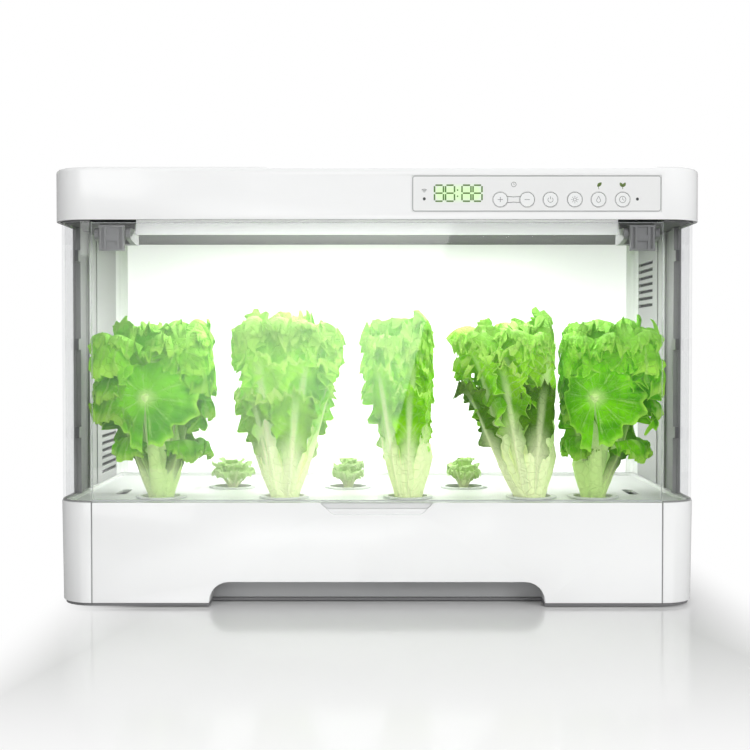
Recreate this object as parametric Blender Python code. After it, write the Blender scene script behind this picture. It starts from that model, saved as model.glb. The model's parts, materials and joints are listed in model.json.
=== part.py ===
"""Countertop hydroponic garden: a lit, glazed growing cabin over a pull-out water tank.

The body stands on Z = 0 with its front towards -Y and its middle over the origin. Everything
is worked out from the sizes below, in metres.
"""

import math

import bmesh
import bpy

MM = 0.001

# Body and general
COLUMNS = 8
COLUMN_PITCH = 56 * MM
END_MARGIN = 52.5 * MM
BODY_DEPTH = 273 * MM
FRONT_CORNER = 30 * MM
REAR_CORNER = 12 * MM
LEAST_RADIUS = 1 * MM
SIDE_DRAFT = 1.2 * MM
WALL = 3 * MM
GAP = 0.3 * MM
OVERRUN = 5 * MM
CORNER_STEPS = 6
SMALL_CORNER_STEPS = 3
ROUND_STEPS = 12

# Base, plinth and feet
PLINTH_BOTTOM = 0.8 * MM
BASE_BOTTOM = 3.4 * MM
BASE_TOP = 90 * MM
CABIN_HEIGHT = 242 * MM
PLINTH_INSET = 2 * MM
SHELF_WIDTH = 5 * MM
SHELF_DEPTH = 5 * MM
FOOT_RADIUS = 8 * MM
FOOT_HEIGHT = 2 * MM
FOOT_EDGE = 0.5 * MM
FOOT_INSET = 46 * MM
INLET_RADIUS = 5.5 * MM
INLET_FLANGE = 2 * MM
INLET_LENGTH = 15 * MM
INLET_BORE = 3.1 * MM
INLET_BORE_DEPTH = 10 * MM
INLET_PIN = 1.1 * MM
INLET_FROM_SIDE = 76 * MM
INLET_DROP = 13.3 * MM

# Front panel, its finger scoop and its arched hand recess
PANEL_FROM_SIDE = 31.5 * MM
SCOOP_TOP_WIDTH = 98 * MM
SCOOP_BOTTOM_WIDTH = 70 * MM
SCOOP_DEPTH = 10.5 * MM
SCOOP_RADIUS = 8 * MM
ARCH_WIDTH = 289 * MM
ARCH_RISE = 18.2 * MM
ARCH_RADIUS = 17 * MM
ARCH_DEPTH = 26.5 * MM
ARCH_WALL = 2.4 * MM

# Water tank with its pump and float
TANK_FROM_PANEL_END = 9 * MM
TANK_REAR_GAP = 12 * MM
TANK_HEIGHT = 46 * MM
TANK_WALL = 2.4 * MM
TANK_CORNER = 14 * MM
TANK_DRAFT = 3 * MM
TANK_RIM = 3 * MM
PUMP_WIDTH = 38 * MM
PUMP_DEPTH = 44 * MM
PUMP_HEIGHT = 28 * MM
PUMP_CORNER = 7 * MM
PUMP_FROM_SIDE = 36 * MM
PUMP_COVER_DEPTH = 9 * MM
PUMP_SLOT = 2.2 * MM
PUMP_SLOTS = 4
NOZZLE_RADIUS = 4.5 * MM
NOZZLE_BORE = 3 * MM
NOZZLE_HEIGHT = 8 * MM
STEM_RADIUS = 2 * MM
STEM_FOOT_RADIUS = 7 * MM
STEM_FOOT_HEIGHT = 3 * MM
STEM_CAP_HEIGHT = 2 * MM
STEM_HEIGHT = 40 * MM
FLOAT_RADIUS = 10 * MM
FLOAT_HEIGHT = 13 * MM
FLOAT_BORE = 2.5 * MM
FLOAT_EDGE = 2 * MM
FLOAT_FROM_SIDE = 36 * MM

# Planting tray and its finger holes
TRAY_CLEARANCE = 1 * MM
TRAY_RIM = 2.6 * MM
DECK_DROP = 3 * MM
DECK_THICKNESS = 2.4 * MM
SKIRT_HEIGHT = 24 * MM
SKIRT_THICKNESS = 2 * MM
SKIRT_SETBACK = 9 * MM
SKIRT_END_INSET = 14 * MM
FINGER_HOLE_WIDTH = 10 * MM
FINGER_HOLE_LENGTH = 42 * MM
FINGER_HOLE_FROM_SIDE = 38 * MM
FINGER_HOLE_FROM_ROW = 44 * MM

# Net cups and where their two rows stand
ROW_FROM_FRONT = 66.5 * MM
ROW_SPACING = 82 * MM
CUP_RADIUS = 19.4 * MM
CUP_BOTTOM_RADIUS = 15.4 * MM
CUP_DEPTH = 34 * MM
CUP_WALL = 1.3 * MM
CUP_FLANGE_RADIUS = 23 * MM
CUP_FLANGE = 1.5 * MM
CUP_CLEARANCE = 0.9 * MM
CUP_SLOT = 6 * MM
CUP_SLOT_HEIGHT = 16 * MM
CUP_SLOT_RISE = 6 * MM
CUP_STEPS = 12
PLUG_CLEARANCE = 0.5 * MM
PLUG_HEIGHT = 31 * MM

# Plants
HEAD_ROOM = 64 * MM
SEEDLING_HEIGHT = 33 * MM
ROUND_STALK_RADIUS = 11.5 * MM
TALL_STALK_RADIUS = 15 * MM
SEEDLING_STALK_RADIUS = 4.5 * MM
STALK_STEPS = 8
LEAF_THICKNESS = 2 * MM
SEEDLING_LEAF_THICKNESS = 1 * MM
FRILL_SHARE = 0.16
SEEDLING_FRILL_SHARE = 0.08
LEAF_COLUMNS = 4

# Cabin walls
WINDOW_THICKNESS = 2.5 * MM
WINDOW_SETBACK = 0.75 * MM
WINDOW_DEPTH = 70.5 * MM
POST_WIDTH = 8 * MM
POST_DEPTH = 4 * MM
RIB_WIDTH = 3 * MM
RIB_DEPTH = 2 * MM
RIB_FROM_WINDOW = 46 * MM
LINER_FROM_RIB = 39 * MM
CLIP_HEIGHT = 10 * MM
CLIP_REACH = 8 * MM
CLIP_FROM_BASE = 56 * MM
CLIP_FROM_HOOD = 26 * MM
CLIPS = 3
VENT_LENGTH = 68 * MM
VENT_HEIGHT = 3.2 * MM
VENT_PITCH = 7 * MM
VENT_FROM_REAR = 29 * MM
UPPER_VENTS = 7
UPPER_VENT_DROP = 68 * MM
LOWER_VENTS = 6
LOWER_VENT_RISE = 8 * MM

# Hood
HOOD_OVERHANG = 3.5 * MM
HOOD_HEIGHT = 45 * MM
HOOD_EDGE = 3 * MM
EDGE_STEPS = 3
UNDERSIDE_THICKNESS = 3 * MM
DOOR_POCKET_RISE = 4 * MM
DOOR_POCKET_DEPTH = 28 * MM
SHIELD_FROM_PANEL_END = 34.5 * MM
SHIELD_THICKNESS = 2 * MM
SHIELD_DROP = 10.3 * MM
LAMP_FROM_SIDE = 80.5 * MM
LAMP_FROM_FRONT = 40.5 * MM
LAMP_FROM_REAR = 128.5 * MM
LAMP_LIP = 4 * MM
LAMP_LIP_THICKNESS = 1.5 * MM
LED_BOARD_THICKNESS = 1.6 * MM

# Control panel, keys, display and board
OVERLAY_WIDTH = 212.6 * MM
OVERLAY_FROM_SIDE = 140.6 * MM
OVERLAY_FROM_TOP = 7.3 * MM
OVERLAY_FROM_BOTTOM = 6.4 * MM
OVERLAY_CORNER = 1.5 * MM
OVERLAY_THICKNESS = 0.6 * MM
OVERLAY_RECESS = 1 * MM
KEY_RADIUS = 6.5 * MM
KEY_CLEARANCE = 0.3 * MM
KEY_EDGE = 0.4 * MM
KEY_FLANGE = 1.1 * MM
KEY_FLANGE_THICKNESS = 1.2 * MM
KEY_STEM = 2 * MM
KEY_TRAVEL = 0.6 * MM
KEY_RISE = 17 * MM
LENS_HEIGHT = 18 * MM
LENS_RISE = 0.35 * MM
LENS_DEPTH = 3.8 * MM
MODULE_MARGIN = 1.2 * MM
BOARD_SETBACK = 6 * MM
BOARD_THICKNESS = 1.6 * MM
BOARD_MARGIN = 2.4 * MM
BOSS_RADIUS = 2.4 * MM
BOSS_INSET = 4 * MM

# Door and hinges
DOOR_THICKNESS = 3 * MM
DOOR_BOTTOM_GAP = 1 * MM
DOOR_TOP_GAP = 1.8 * MM
DOOR_SIDE_GAP = 0.4 * MM
AXIS_DROP = 11 * MM
AXIS_SETBACK = 10.5 * MM
BRACKET_FROM_PANEL_END = 2 * MM
BRACKET_WIDTH = 31 * MM
BRACKET_EAR = 4 * MM
BRACKET_DEPTH = 18 * MM
BRACKET_HEIGHT = 18 * MM
EAR_RADIUS = 5 * MM
PIN_RADIUS = 2.2 * MM
PIN_CLEARANCE = 0.3 * MM
KNUCKLE_RADIUS = 4.2 * MM
KNUCKLE_CLEARANCE = 0.5 * MM
PAD_THICKNESS = 2.2 * MM
PAD_BELOW_AXIS = 15 * MM
PAD_ABOVE_AXIS = 7 * MM

# Worked out from the sizes above
BODY_WIDTH = COLUMNS * COLUMN_PITCH + 2 * END_MARGIN
FRONT_Y = -BODY_DEPTH / 2
REAR_Y = BODY_DEPTH / 2
CABIN_TOP = BASE_TOP + CABIN_HEIGHT
HOOD_FRONT_Y = FRONT_Y - HOOD_OVERHANG
HOOD_TOP = CABIN_TOP + HOOD_HEIGHT
PLINTH_TOP = BASE_BOTTOM - GAP
SHELF_TOP = BASE_TOP - DECK_DROP - DECK_THICKNESS - GAP
INLET_Z = SHELF_TOP - SHELF_DEPTH - INLET_DROP
DECK_TOP = BASE_TOP - DECK_DROP
PANEL_WIDTH = BODY_WIDTH - 2 * PANEL_FROM_SIDE
TANK_WIDTH = PANEL_WIDTH - 2 * TANK_FROM_PANEL_END
TANK_BOTTOM = BASE_BOTTOM
TANK_TOP = TANK_BOTTOM + TANK_HEIGHT
TANK_FLOOR = TANK_BOTTOM + TANK_WALL
TANK_FRONT_Y = FRONT_Y + ARCH_DEPTH
TANK_REAR_Y = REAR_Y - WALL - TANK_REAR_GAP
FRONT_ROW_Y = FRONT_Y + ROW_FROM_FRONT
REAR_ROW_Y = FRONT_ROW_Y + ROW_SPACING
FINGER_HOLE_Y = FRONT_ROW_Y + FINGER_HOLE_FROM_ROW
CUP_BOTTOM = DECK_TOP + GAP - CUP_DEPTH
PLANT_FOOT = CUP_BOTTOM + CUP_WALL + GAP + PLUG_HEIGHT + GAP
LETTUCE_HEIGHT = CABIN_TOP - HEAD_ROOM - PLANT_FOOT
AXIS_Y = FRONT_Y + AXIS_SETBACK
AXIS_Z = CABIN_TOP - AXIS_DROP
POCKET_REAR_Y = FRONT_Y + DOOR_POCKET_DEPTH
WALL_FOOT = BASE_TOP + GAP
WALL_HEAD = CABIN_TOP - GAP
WINDOW_END_Y = FRONT_Y + WINDOW_DEPTH
RIB_Y = WINDOW_END_Y + RIB_FROM_WINDOW
LINER_Y = RIB_Y + LINER_FROM_RIB
CLIP_LOWEST = BASE_TOP + CLIP_FROM_BASE
CLIP_HIGHEST = CABIN_TOP - CLIP_FROM_HOOD
UPPER_VENT_LOWEST = CABIN_TOP - UPPER_VENT_DROP
LOWER_VENT_LOWEST = BASE_TOP + LOWER_VENT_RISE
REAR_PANEL_HALF = BODY_WIDTH / 2 - REAR_CORNER
LAMP_WIDTH = BODY_WIDTH - 2 * LAMP_FROM_SIDE
LAMP_FRONT_Y = FRONT_Y + LAMP_FROM_FRONT
LAMP_REAR_Y = REAR_Y - LAMP_FROM_REAR
OVERLAY_HEIGHT = HOOD_HEIGHT - OVERLAY_FROM_TOP - OVERLAY_FROM_BOTTOM
OVERLAY_X = BODY_WIDTH / 2 - OVERLAY_FROM_SIDE
OVERLAY_Z = CABIN_TOP + OVERLAY_FROM_BOTTOM + OVERLAY_HEIGHT / 2
KEY_Z = CABIN_TOP + KEY_RISE

# Keys' places, and the display's place and width, as shares of the overlay's width
KEY_SHARES = {
    "plus": -0.1458, "minus": -0.0381, "power": 0.055, "light": 0.1524, "pump": 0.2474,
    "timer": 0.3438,
}
LENS_SHARE = -0.3142
LENS_WIDTH_SHARE = 0.2117
LENS_X = OVERLAY_X + LENS_SHARE * OVERLAY_WIDTH
LENS_Z = OVERLAY_Z + LENS_RISE
LENS_WIDTH = LENS_WIDTH_SHARE * OVERLAY_WIDTH

# A plant's column counted from the left, its row, and how far its leaves reach to the left,
# right, front and back of its cup. The shares are of the column pitch, but of the room to the
# wall at the outer ends, and of the room to the door in front of the front row.
PLANT_SHARES = {
    "lettuce_1": (0, "front", 0.865, 0.97, 0.86, 0.88),
    "seedling_1": (1, "rear", 0.42, 0.42, 0.40, 0.40),
    "lettuce_2": (2, "front", 0.95, 1.10, 0.84, 0.88),
    "seedling_2": (3, "rear", 0.30, 0.30, 0.30, 0.30),
    "lettuce_3": (4, "front", 0.88, 0.47, 0.86, 0.88),
    "seedling_3": (5, "rear", 0.33, 0.33, 0.33, 0.33),
    "lettuce_4": (6, "front", 1.50, 0.40, 0.86, 0.88),
    "lettuce_5": (7, "front", 0.59, 0.87, 0.86, 0.88),
}

# A leaf's spine as four control points, (outwards, up), in shares of the leaf's own reach and
# height, then its width from the stalk to the tip and how far its edges droop, also as shares
SPINE_SHARES = {
    "fan": [(0.14, 0.06), (0.56, 0.42), (0.74, 1.28), (1.00, 0.58)],
    "crown": [(0.10, 0.36), (0.20, 0.62), (0.46, 1.04), (1.00, 0.95)],
    "blade": [(0.15, 0.05), (0.42, 0.40), (0.56, 0.94), (1.00, 0.96)],
    "sprout": [(0.14, 0.10), (0.22, 0.50), (0.55, 1.08), (1.00, 0.94)],
}
WIDTH_SHARES = {
    "fan": (0.70, 0.70, 0.94, 1.00, 0.66),
    "crown": (0.60, 0.80, 1.00, 0.62),
    "blade": (0.90, 0.66, 0.80, 1.00, 0.62),
    "sprout": (0.70, 1.00, 0.50),
}
DROOP_SHARES = {"fan": 0.16, "crown": -0.04, "blade": -0.03, "sprout": 0.05}

# Each plant's leaves: kind, direction as a share of a turn from +X, then reach, height and
# half its spread, the spread as a share of a turn
ROUND_LEAF_SHARES = [
    ("fan", 0.75, 1.00, 0.80, 0.104), ("fan", 0.55, 1.00, 0.92, 0.092),
    ("fan", 0.95, 1.00, 0.88, 0.092), ("fan", 0.36, 1.00, 0.98, 0.092),
    ("fan", 0.15, 1.00, 0.96, 0.096), ("crown", 0.64, 0.62, 0.96, 0.15),
    ("crown", 0.96, 0.60, 0.98, 0.15), ("crown", 0.30, 0.60, 1.00, 0.15),
]
TALL_LEAF_SHARES = [
    ("blade", 0.50, 1.00, 0.94, 0.094), ("blade", 0.02, 1.00, 0.98, 0.094),
    ("blade", 0.70, 0.92, 0.88, 0.094), ("blade", 0.30, 0.94, 0.96, 0.094),
    ("fan", 0.86, 0.96, 0.66, 0.056), ("crown", 0.62, 0.56, 1.00, 0.16),
    ("crown", 0.12, 0.56, 0.98, 0.16),
]
SPROUT_LEAF_SHARES = [
    ("sprout", 0.52, 1.00, 0.92, 0.12), ("sprout", 0.02, 1.00, 1.00, 0.12),
    ("sprout", 0.77, 0.80, 0.80, 0.11),
]

# Height and thickness of a stalk's rings, as shares of the plant's height and the stalk's radius
STALK_SHARES = [(0.00, 0.92), (0.10, 1.00), (0.24, 1.30), (0.36, 1.42), (0.42, 0.60)]


def clear_scene():
    for old in list(bpy.data.objects):
        bpy.data.objects.remove(old, do_unlink=True)


def material(name, colour, roughness, metallic=0.0, alpha=1.0):
    made = bpy.data.materials.new(name)
    made.use_nodes = True
    shader = made.node_tree.nodes["Principled BSDF"]
    shader.inputs["Base Color"].default_value = (*colour, 1.0)
    shader.inputs["Roughness"].default_value = roughness
    shader.inputs["Metallic"].default_value = metallic
    shader.inputs["Alpha"].default_value = alpha
    return made


def arc(centre, radius, start, end, steps=CORNER_STEPS):
    """Points along a circle between two angles in degrees, both ends included."""
    points = []
    for i in range(steps + 1):
        angle = math.radians(start + (end - start) * i / steps)
        points.append((centre[0] + radius * math.cos(angle), centre[1] + radius * math.sin(angle)))
    return points


def rectangle(low, high):
    return [low, (high[0], low[1]), high, (low[0], high[1])]


def rounded_rectangle(low, high, radius, steps=SMALL_CORNER_STEPS):
    return (
        arc((low[0] + radius, low[1] + radius), radius, 180, 270, steps)
        + arc((high[0] - radius, low[1] + radius), radius, 270, 360, steps)
        + arc((high[0] - radius, high[1] - radius), radius, 0, 90, steps)
        + arc((low[0] + radius, high[1] - radius), radius, 90, 180, steps)
    )


def body_plan(inset, narrow=0.0):
    """The body's outline seen from above, drawn in all round by inset and at the sides by narrow."""
    half_x = BODY_WIDTH / 2 - inset - narrow
    half_y = BODY_DEPTH / 2 - inset
    front = max(FRONT_CORNER - inset, LEAST_RADIUS)
    rear = max(REAR_CORNER - inset, LEAST_RADIUS)
    return (
        arc((-half_x + front, -half_y + front), front, 180, 270)
        + arc((half_x - front, -half_y + front), front, 270, 360)
        + arc((half_x - rear, half_y - rear), rear, 0, 90)
        + arc((-half_x + rear, half_y - rear), rear, 90, 180)
    )


def add_object(name, mesh_data, finish):
    """Turns a bmesh into an object of the scene, with its faces pointing out."""
    bmesh.ops.remove_doubles(mesh_data, verts=mesh_data.verts, dist=GAP / 100)
    bmesh.ops.recalc_face_normals(mesh_data, faces=mesh_data.faces)
    mesh = bpy.data.meshes.new(name)
    mesh_data.to_mesh(mesh)
    mesh_data.free()
    made = bpy.data.objects.new(name, mesh)
    bpy.context.scene.collection.objects.link(made)
    if finish is not None:
        mesh.materials.append(finish)
    return made


def loft(name, rings, finish=None):
    """A closed body through rings of equal counts of points, with flat ends."""
    shape = bmesh.new()
    loops = [[shape.verts.new(point) for point in ring] for ring in rings]
    count = len(loops[0])
    for lower, upper in zip(loops, loops[1:]):
        for i in range(count):
            j = (i + 1) % count
            shape.faces.new((lower[i], lower[j], upper[j], upper[i]))
    shape.faces.new(list(reversed(loops[0])))
    shape.faces.new(loops[-1])
    return add_object(name, shape, finish)


def standing(points, z):
    return [(x, y, z) for x, y in points]


def prism_z(name, outline, bottom, top, finish=None):
    """An outline in X and Y, drawn up from bottom to top."""
    return loft(name, [standing(outline, bottom), standing(outline, top)], finish)


def prism_y(name, outline, front, rear, finish=None):
    """An outline in X and Z, drawn back from front to rear."""
    return loft(name, [[(x, y, z) for x, z in outline] for y in (front, rear)], finish)


def prism_x(name, outline, left, right, finish=None):
    """An outline in Y and Z, drawn across from left to right."""
    return loft(name, [[(x, y, z) for y, z in outline] for x in (left, right)], finish)


def box(name, low, high, finish=None):
    return prism_z(name, rectangle(low[:2], high[:2]), low[2], high[2], finish)


def turned(name, profile, centre, finish=None, steps=ROUND_STEPS, axis="z"):
    """Turns a profile of (radius, height) about an axis. Points at radius zero close the ends."""
    shape = bmesh.new()
    rows = []
    for radius, height in profile:
        count = steps if radius > 0 else 1
        row = []
        for i in range(count):
            angle = math.tau * (i + 0.5) / steps
            across, along = radius * math.cos(angle), radius * math.sin(angle)
            place = {
                "x": (height, across, along),
                "y": (along, height, across),
                "z": (across, along, height),
            }[axis]
            row.append(shape.verts.new([c + p for c, p in zip(centre, place)]))
        rows.append(row)
    closed = profile[0][0] > 0
    pairs = list(zip(rows, rows[1:])) + ([(rows[-1], rows[0])] if closed else [])
    for lower, upper in pairs:
        for i in range(steps):
            j = (i + 1) % steps
            corners = [lower[i % len(lower)], lower[j % len(lower)]]
            corners += [upper[j % len(upper)], upper[i % len(upper)]]
            shape.faces.new(list(dict.fromkeys(corners)))
    return add_object(name, shape, finish)


def combine(target, tool, operation):
    """Cuts tool out of target, or joins it on, with a live Boolean and a hidden guide."""
    modifier = target.modifiers.new(tool.name, "BOOLEAN")
    modifier.operation = operation
    modifier.solver = "EXACT"
    modifier.object = tool
    tool.hide_render = True
    tool.display_type = "WIRE"
    return target


def cut(target, *tools):
    for tool in tools:
        combine(target, tool, "DIFFERENCE")
    return target


def join(target, *tools):
    for tool in tools:
        combine(target, tool, "UNION")
    return target


def settled_mesh(piece):
    """The mesh of a piece with its modifiers applied, for copies to share."""
    graph = bpy.context.evaluated_depsgraph_get()
    return bpy.data.meshes.new_from_object(piece.evaluated_get(graph))


def smooth(piece, degrees=35):
    piece.data.shade_smooth()
    piece.data.set_sharp_from_angle(angle=math.radians(degrees))
    return piece


def carry(axis_name, point, pieces):
    """Hangs pieces on an empty that marks a joint's axis, without moving them."""
    holder = bpy.data.objects.new(axis_name, None)
    holder.location = point
    bpy.context.scene.collection.objects.link(holder)
    for piece in pieces:
        piece.parent = holder
        piece.location = [-c for c in point]
    return holder


def make_materials():
    return {
        "white": material("white_plastic", (0.90, 0.90, 0.90), 0.22),
        "grey": material("grey_plastic", (0.34, 0.35, 0.36), 0.45),
        "panel": material("panel_film", (0.80, 0.81, 0.81), 0.35),
        "clear": material("clear_plastic", (0.92, 0.96, 0.96), 0.05, alpha=0.3),
        "milky": material("milky_plastic", (0.86, 0.87, 0.88), 0.5),
        "rubber": material("dark_rubber", (0.05, 0.05, 0.05), 0.8),
        "board": material("circuit_board", (0.05, 0.22, 0.12), 0.5),
        "metal": material("board_metal", (0.75, 0.76, 0.78), 0.35, 1.0),
        "black": material("black_plastic", (0.04, 0.04, 0.045), 0.4),
        "smoke": material("smoked_tank", (0.70, 0.73, 0.75), 0.3),
        "leaf": material("lettuce_leaf", (0.32, 0.62, 0.10), 0.5),
        "dark_leaf": material("tall_leaf", (0.20, 0.48, 0.08), 0.5),
        "sprout": material("sprout_leaf", (0.45, 0.68, 0.22), 0.5),
    }


def add_base(finish):
    """Base shell: a ring with an open front, a shelf for the tray and the inlet's hole."""
    outer = [
        standing(body_plan(0, SIDE_DRAFT), BASE_BOTTOM),
        standing(body_plan(0), BASE_TOP),
    ]
    shell = loft("base_shell", outer, finish["white"])
    shelf_inset = WALL + SHELF_WIDTH
    shelf_bottom = SHELF_TOP - SHELF_DEPTH
    through = prism_z(
        "base_hollow", body_plan(shelf_inset), BASE_BOTTOM - OVERRUN, BASE_TOP + OVERRUN
    )
    lower = prism_z("base_room", body_plan(WALL), BASE_BOTTOM - OVERRUN, shelf_bottom)
    upper = prism_z("tray_seat", body_plan(WALL), SHELF_TOP, BASE_TOP + OVERRUN)
    half = PANEL_WIDTH / 2 + GAP
    front = box(
        "panel_opening",
        (-half, FRONT_Y - OVERRUN, BASE_BOTTOM - OVERRUN),
        (half, FRONT_Y + shelf_inset + OVERRUN, BASE_TOP + OVERRUN),
    )
    inlet_hole = turned(
        "inlet_hole",
        [(0, REAR_Y - WALL - OVERRUN), (INLET_RADIUS + GAP, REAR_Y - WALL - OVERRUN),
         (INLET_RADIUS + GAP, REAR_Y + OVERRUN), (0, REAR_Y + OVERRUN)],
        (BODY_WIDTH / 2 - INLET_FROM_SIDE, 0, INLET_Z),
        axis="y",
    )
    cut(shell, through, lower, upper, front, inlet_hole)
    smooth(shell)
    add_plinth(finish)
    add_inlet(finish)


def add_plinth(finish):
    """Dark plate under the base, notched behind the hand recess, with pockets for its feet."""
    outline = body_plan(PLINTH_INSET, SIDE_DRAFT)
    plate = prism_z("plinth", outline, PLINTH_BOTTOM, PLINTH_TOP, finish["grey"])
    half = ARCH_WIDTH / 2
    notch = box(
        "plinth_notch",
        (-half, FRONT_Y - OVERRUN, PLINTH_BOTTOM - OVERRUN),
        (half, TANK_FRONT_Y, PLINTH_TOP + OVERRUN),
    )
    cut(plate, notch)
    places = [
        (side * (BODY_WIDTH / 2 - FOOT_INSET), end * (BODY_DEPTH / 2 - FOOT_INSET))
        for end in (-1, 1)
        for side in (-1, 1)
    ]
    for number, (x, y) in enumerate(places, 1):
        profile = [
            (0, 0), (FOOT_RADIUS - FOOT_EDGE, 0), (FOOT_RADIUS, FOOT_EDGE),
            (FOOT_RADIUS, FOOT_HEIGHT), (0, FOOT_HEIGHT),
        ]
        smooth(turned(f"foot_{number}", profile, (x, y, 0), finish["rubber"]))
        radius = FOOT_RADIUS + GAP
        pocket = turned(
            f"foot_pocket_{number}",
            [(0, -OVERRUN), (radius, -OVERRUN), (radius, FOOT_HEIGHT + GAP),
             (0, FOOT_HEIGHT + GAP)],
            (x, y, 0),
        )
        cut(plate, pocket)


def add_inlet(finish):
    """Round low-voltage inlet in the base's back, with its pin in an open bore."""
    face = REAR_Y + GAP + INLET_FLANGE
    profile = [
        (0, face - GAP), (INLET_PIN, face - GAP), (INLET_PIN, face - INLET_BORE_DEPTH),
        (INLET_BORE, face - INLET_BORE_DEPTH), (INLET_BORE, face),
        (INLET_RADIUS + INLET_FLANGE, face), (INLET_RADIUS + INLET_FLANGE, REAR_Y + GAP),
        (INLET_RADIUS, REAR_Y + GAP), (INLET_RADIUS, face - INLET_LENGTH),
        (0, face - INLET_LENGTH),
    ]
    place = (BODY_WIDTH / 2 - INLET_FROM_SIDE, 0, INLET_Z)
    smooth(turned("power_inlet", profile, place, finish["black"], axis="y"))


def scoop_outline():
    """Finger scoop in the panel's top edge: slanted ends that run into a flat bottom."""
    bottom = BASE_TOP - SCOOP_DEPTH
    centre = (SCOOP_BOTTOM_WIDTH / 2, bottom + SCOOP_RADIUS)
    corner = (SCOOP_TOP_WIDTH / 2, BASE_TOP)
    across, up = corner[0] - centre[0], corner[1] - centre[1]
    spread = math.degrees(math.acos(min(SCOOP_RADIUS / math.hypot(across, up), 1)))
    touch = math.degrees(math.atan2(up, across)) - spread
    right = arc(centre, SCOOP_RADIUS, -90, touch) + [corner, (corner[0], corner[1] + OVERRUN)]
    left = [(-x, z) for x, z in reversed(right)]
    return right + left


def arch_outline(grow, bottom):
    """Hand recess in the panel's bottom edge, its upper corners rounded."""
    half = ARCH_WIDTH / 2 + grow
    top = BASE_BOTTOM + ARCH_RISE + grow
    radius = ARCH_RADIUS + grow
    right = [(half, bottom)] + arc((half - radius, top - radius), radius, 0, 90)
    return right + [(-x, z) for x, z in reversed(right)]


def add_drawer(finish):
    """The pull-out tank and the front panel that it carries, with the pump and the float."""
    half = PANEL_WIDTH / 2
    panel = box(
        "front_panel", (-half, FRONT_Y, BASE_BOTTOM), (half, FRONT_Y + WALL, BASE_TOP),
        finish["white"],
    )
    recess_rear = TANK_FRONT_Y - GAP
    liner = prism_y(
        "recess_liner", arch_outline(ARCH_WALL, BASE_BOTTOM), FRONT_Y + WALL / 2, recess_rear
    )
    recess = prism_y(
        "recess_space", arch_outline(0, BASE_BOTTOM - OVERRUN), FRONT_Y - OVERRUN,
        recess_rear + OVERRUN,
    )
    scoop = prism_y("scoop_space", scoop_outline(), FRONT_Y - OVERRUN, FRONT_Y + WALL + OVERRUN)
    smooth(cut(join(panel, liner), recess, scoop))
    tank = add_tank(finish)
    pump = add_pump(finish)
    stem, bob = add_float(finish)
    carry("tank_runner", (0, TANK_FRONT_Y, TANK_BOTTOM), [panel, tank, stem, *pump])
    carry("float_axis", (FLOAT_FROM_SIDE - TANK_WIDTH / 2, tank_middle(), TANK_FLOOR), [bob])


def tank_middle():
    return (TANK_FRONT_Y + TANK_REAR_Y) / 2


def tank_ring(inset, z):
    half = TANK_WIDTH / 2 - inset
    radius = max(TANK_CORNER - inset, LEAST_RADIUS)
    low, high = (-half, TANK_FRONT_Y + inset), (half, TANK_REAR_Y - inset)
    return standing(rounded_rectangle(low, high, radius, CORNER_STEPS), z)


def add_tank(finish):
    """Open tank with drafted walls and a thickened rim."""
    rim_bottom = TANK_TOP - TANK_RIM
    rings = [
        tank_ring(TANK_DRAFT, TANK_BOTTOM),
        tank_ring(TANK_WALL / 2, rim_bottom - TANK_WALL / 2),
        tank_ring(0, rim_bottom),
        tank_ring(0, TANK_TOP),
    ]
    tank = loft("water_tank", rings, finish["smoke"])
    hollow = [
        tank_ring(TANK_DRAFT + TANK_WALL, TANK_FLOOR),
        tank_ring(TANK_WALL * 1.5, TANK_TOP + OVERRUN),
    ]
    return smooth(cut(tank, loft("tank_hollow", hollow)))


def add_pump(finish):
    """Small circulation pump on the tank's floor: a body with a nozzle, and a slotted cover."""
    right = TANK_WIDTH / 2 - PUMP_FROM_SIDE
    left = right - PUMP_WIDTH
    rear = tank_middle() + PUMP_DEPTH / 2
    front = rear - PUMP_DEPTH
    bottom = TANK_FLOOR + GAP
    top = bottom + PUMP_HEIGHT
    outline = rounded_rectangle((left, bottom), (right, top), PUMP_CORNER)
    body = prism_y("pump_body", outline, front, rear, finish["black"])
    nozzle_profile = [
        (0, top - PUMP_CORNER), (NOZZLE_RADIUS, top - PUMP_CORNER),
        (NOZZLE_RADIUS, top + NOZZLE_HEIGHT), (0, top + NOZZLE_HEIGHT),
    ]
    bore_profile = [
        (0, top), (NOZZLE_BORE, top), (NOZZLE_BORE, top + NOZZLE_HEIGHT + OVERRUN),
        (0, top + NOZZLE_HEIGHT + OVERRUN),
    ]
    middle = ((left + right) / 2, (front + rear) / 2, 0)
    join(body, turned("pump_nozzle", nozzle_profile, middle))
    cut(body, turned("pump_bore", bore_profile, middle))
    cover_rear = front - GAP
    cover = prism_y(
        "pump_cover", outline, cover_rear - PUMP_COVER_DEPTH, cover_rear, finish["grey"]
    )
    pitch = (PUMP_HEIGHT - 2 * PUMP_SLOT) / PUMP_SLOTS
    for number in range(PUMP_SLOTS):
        low = bottom + PUMP_SLOT + pitch * (number + 0.5) - PUMP_SLOT / 2
        slot = box(
            f"pump_slot_{number}",
            (left + PUMP_CORNER, cover_rear - PUMP_COVER_DEPTH - OVERRUN, low),
            (right - PUMP_CORNER, cover_rear - PUMP_COVER_DEPTH / 2, low + PUMP_SLOT),
        )
        cut(cover, slot)
    return [smooth(body), smooth(cover)]


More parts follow.
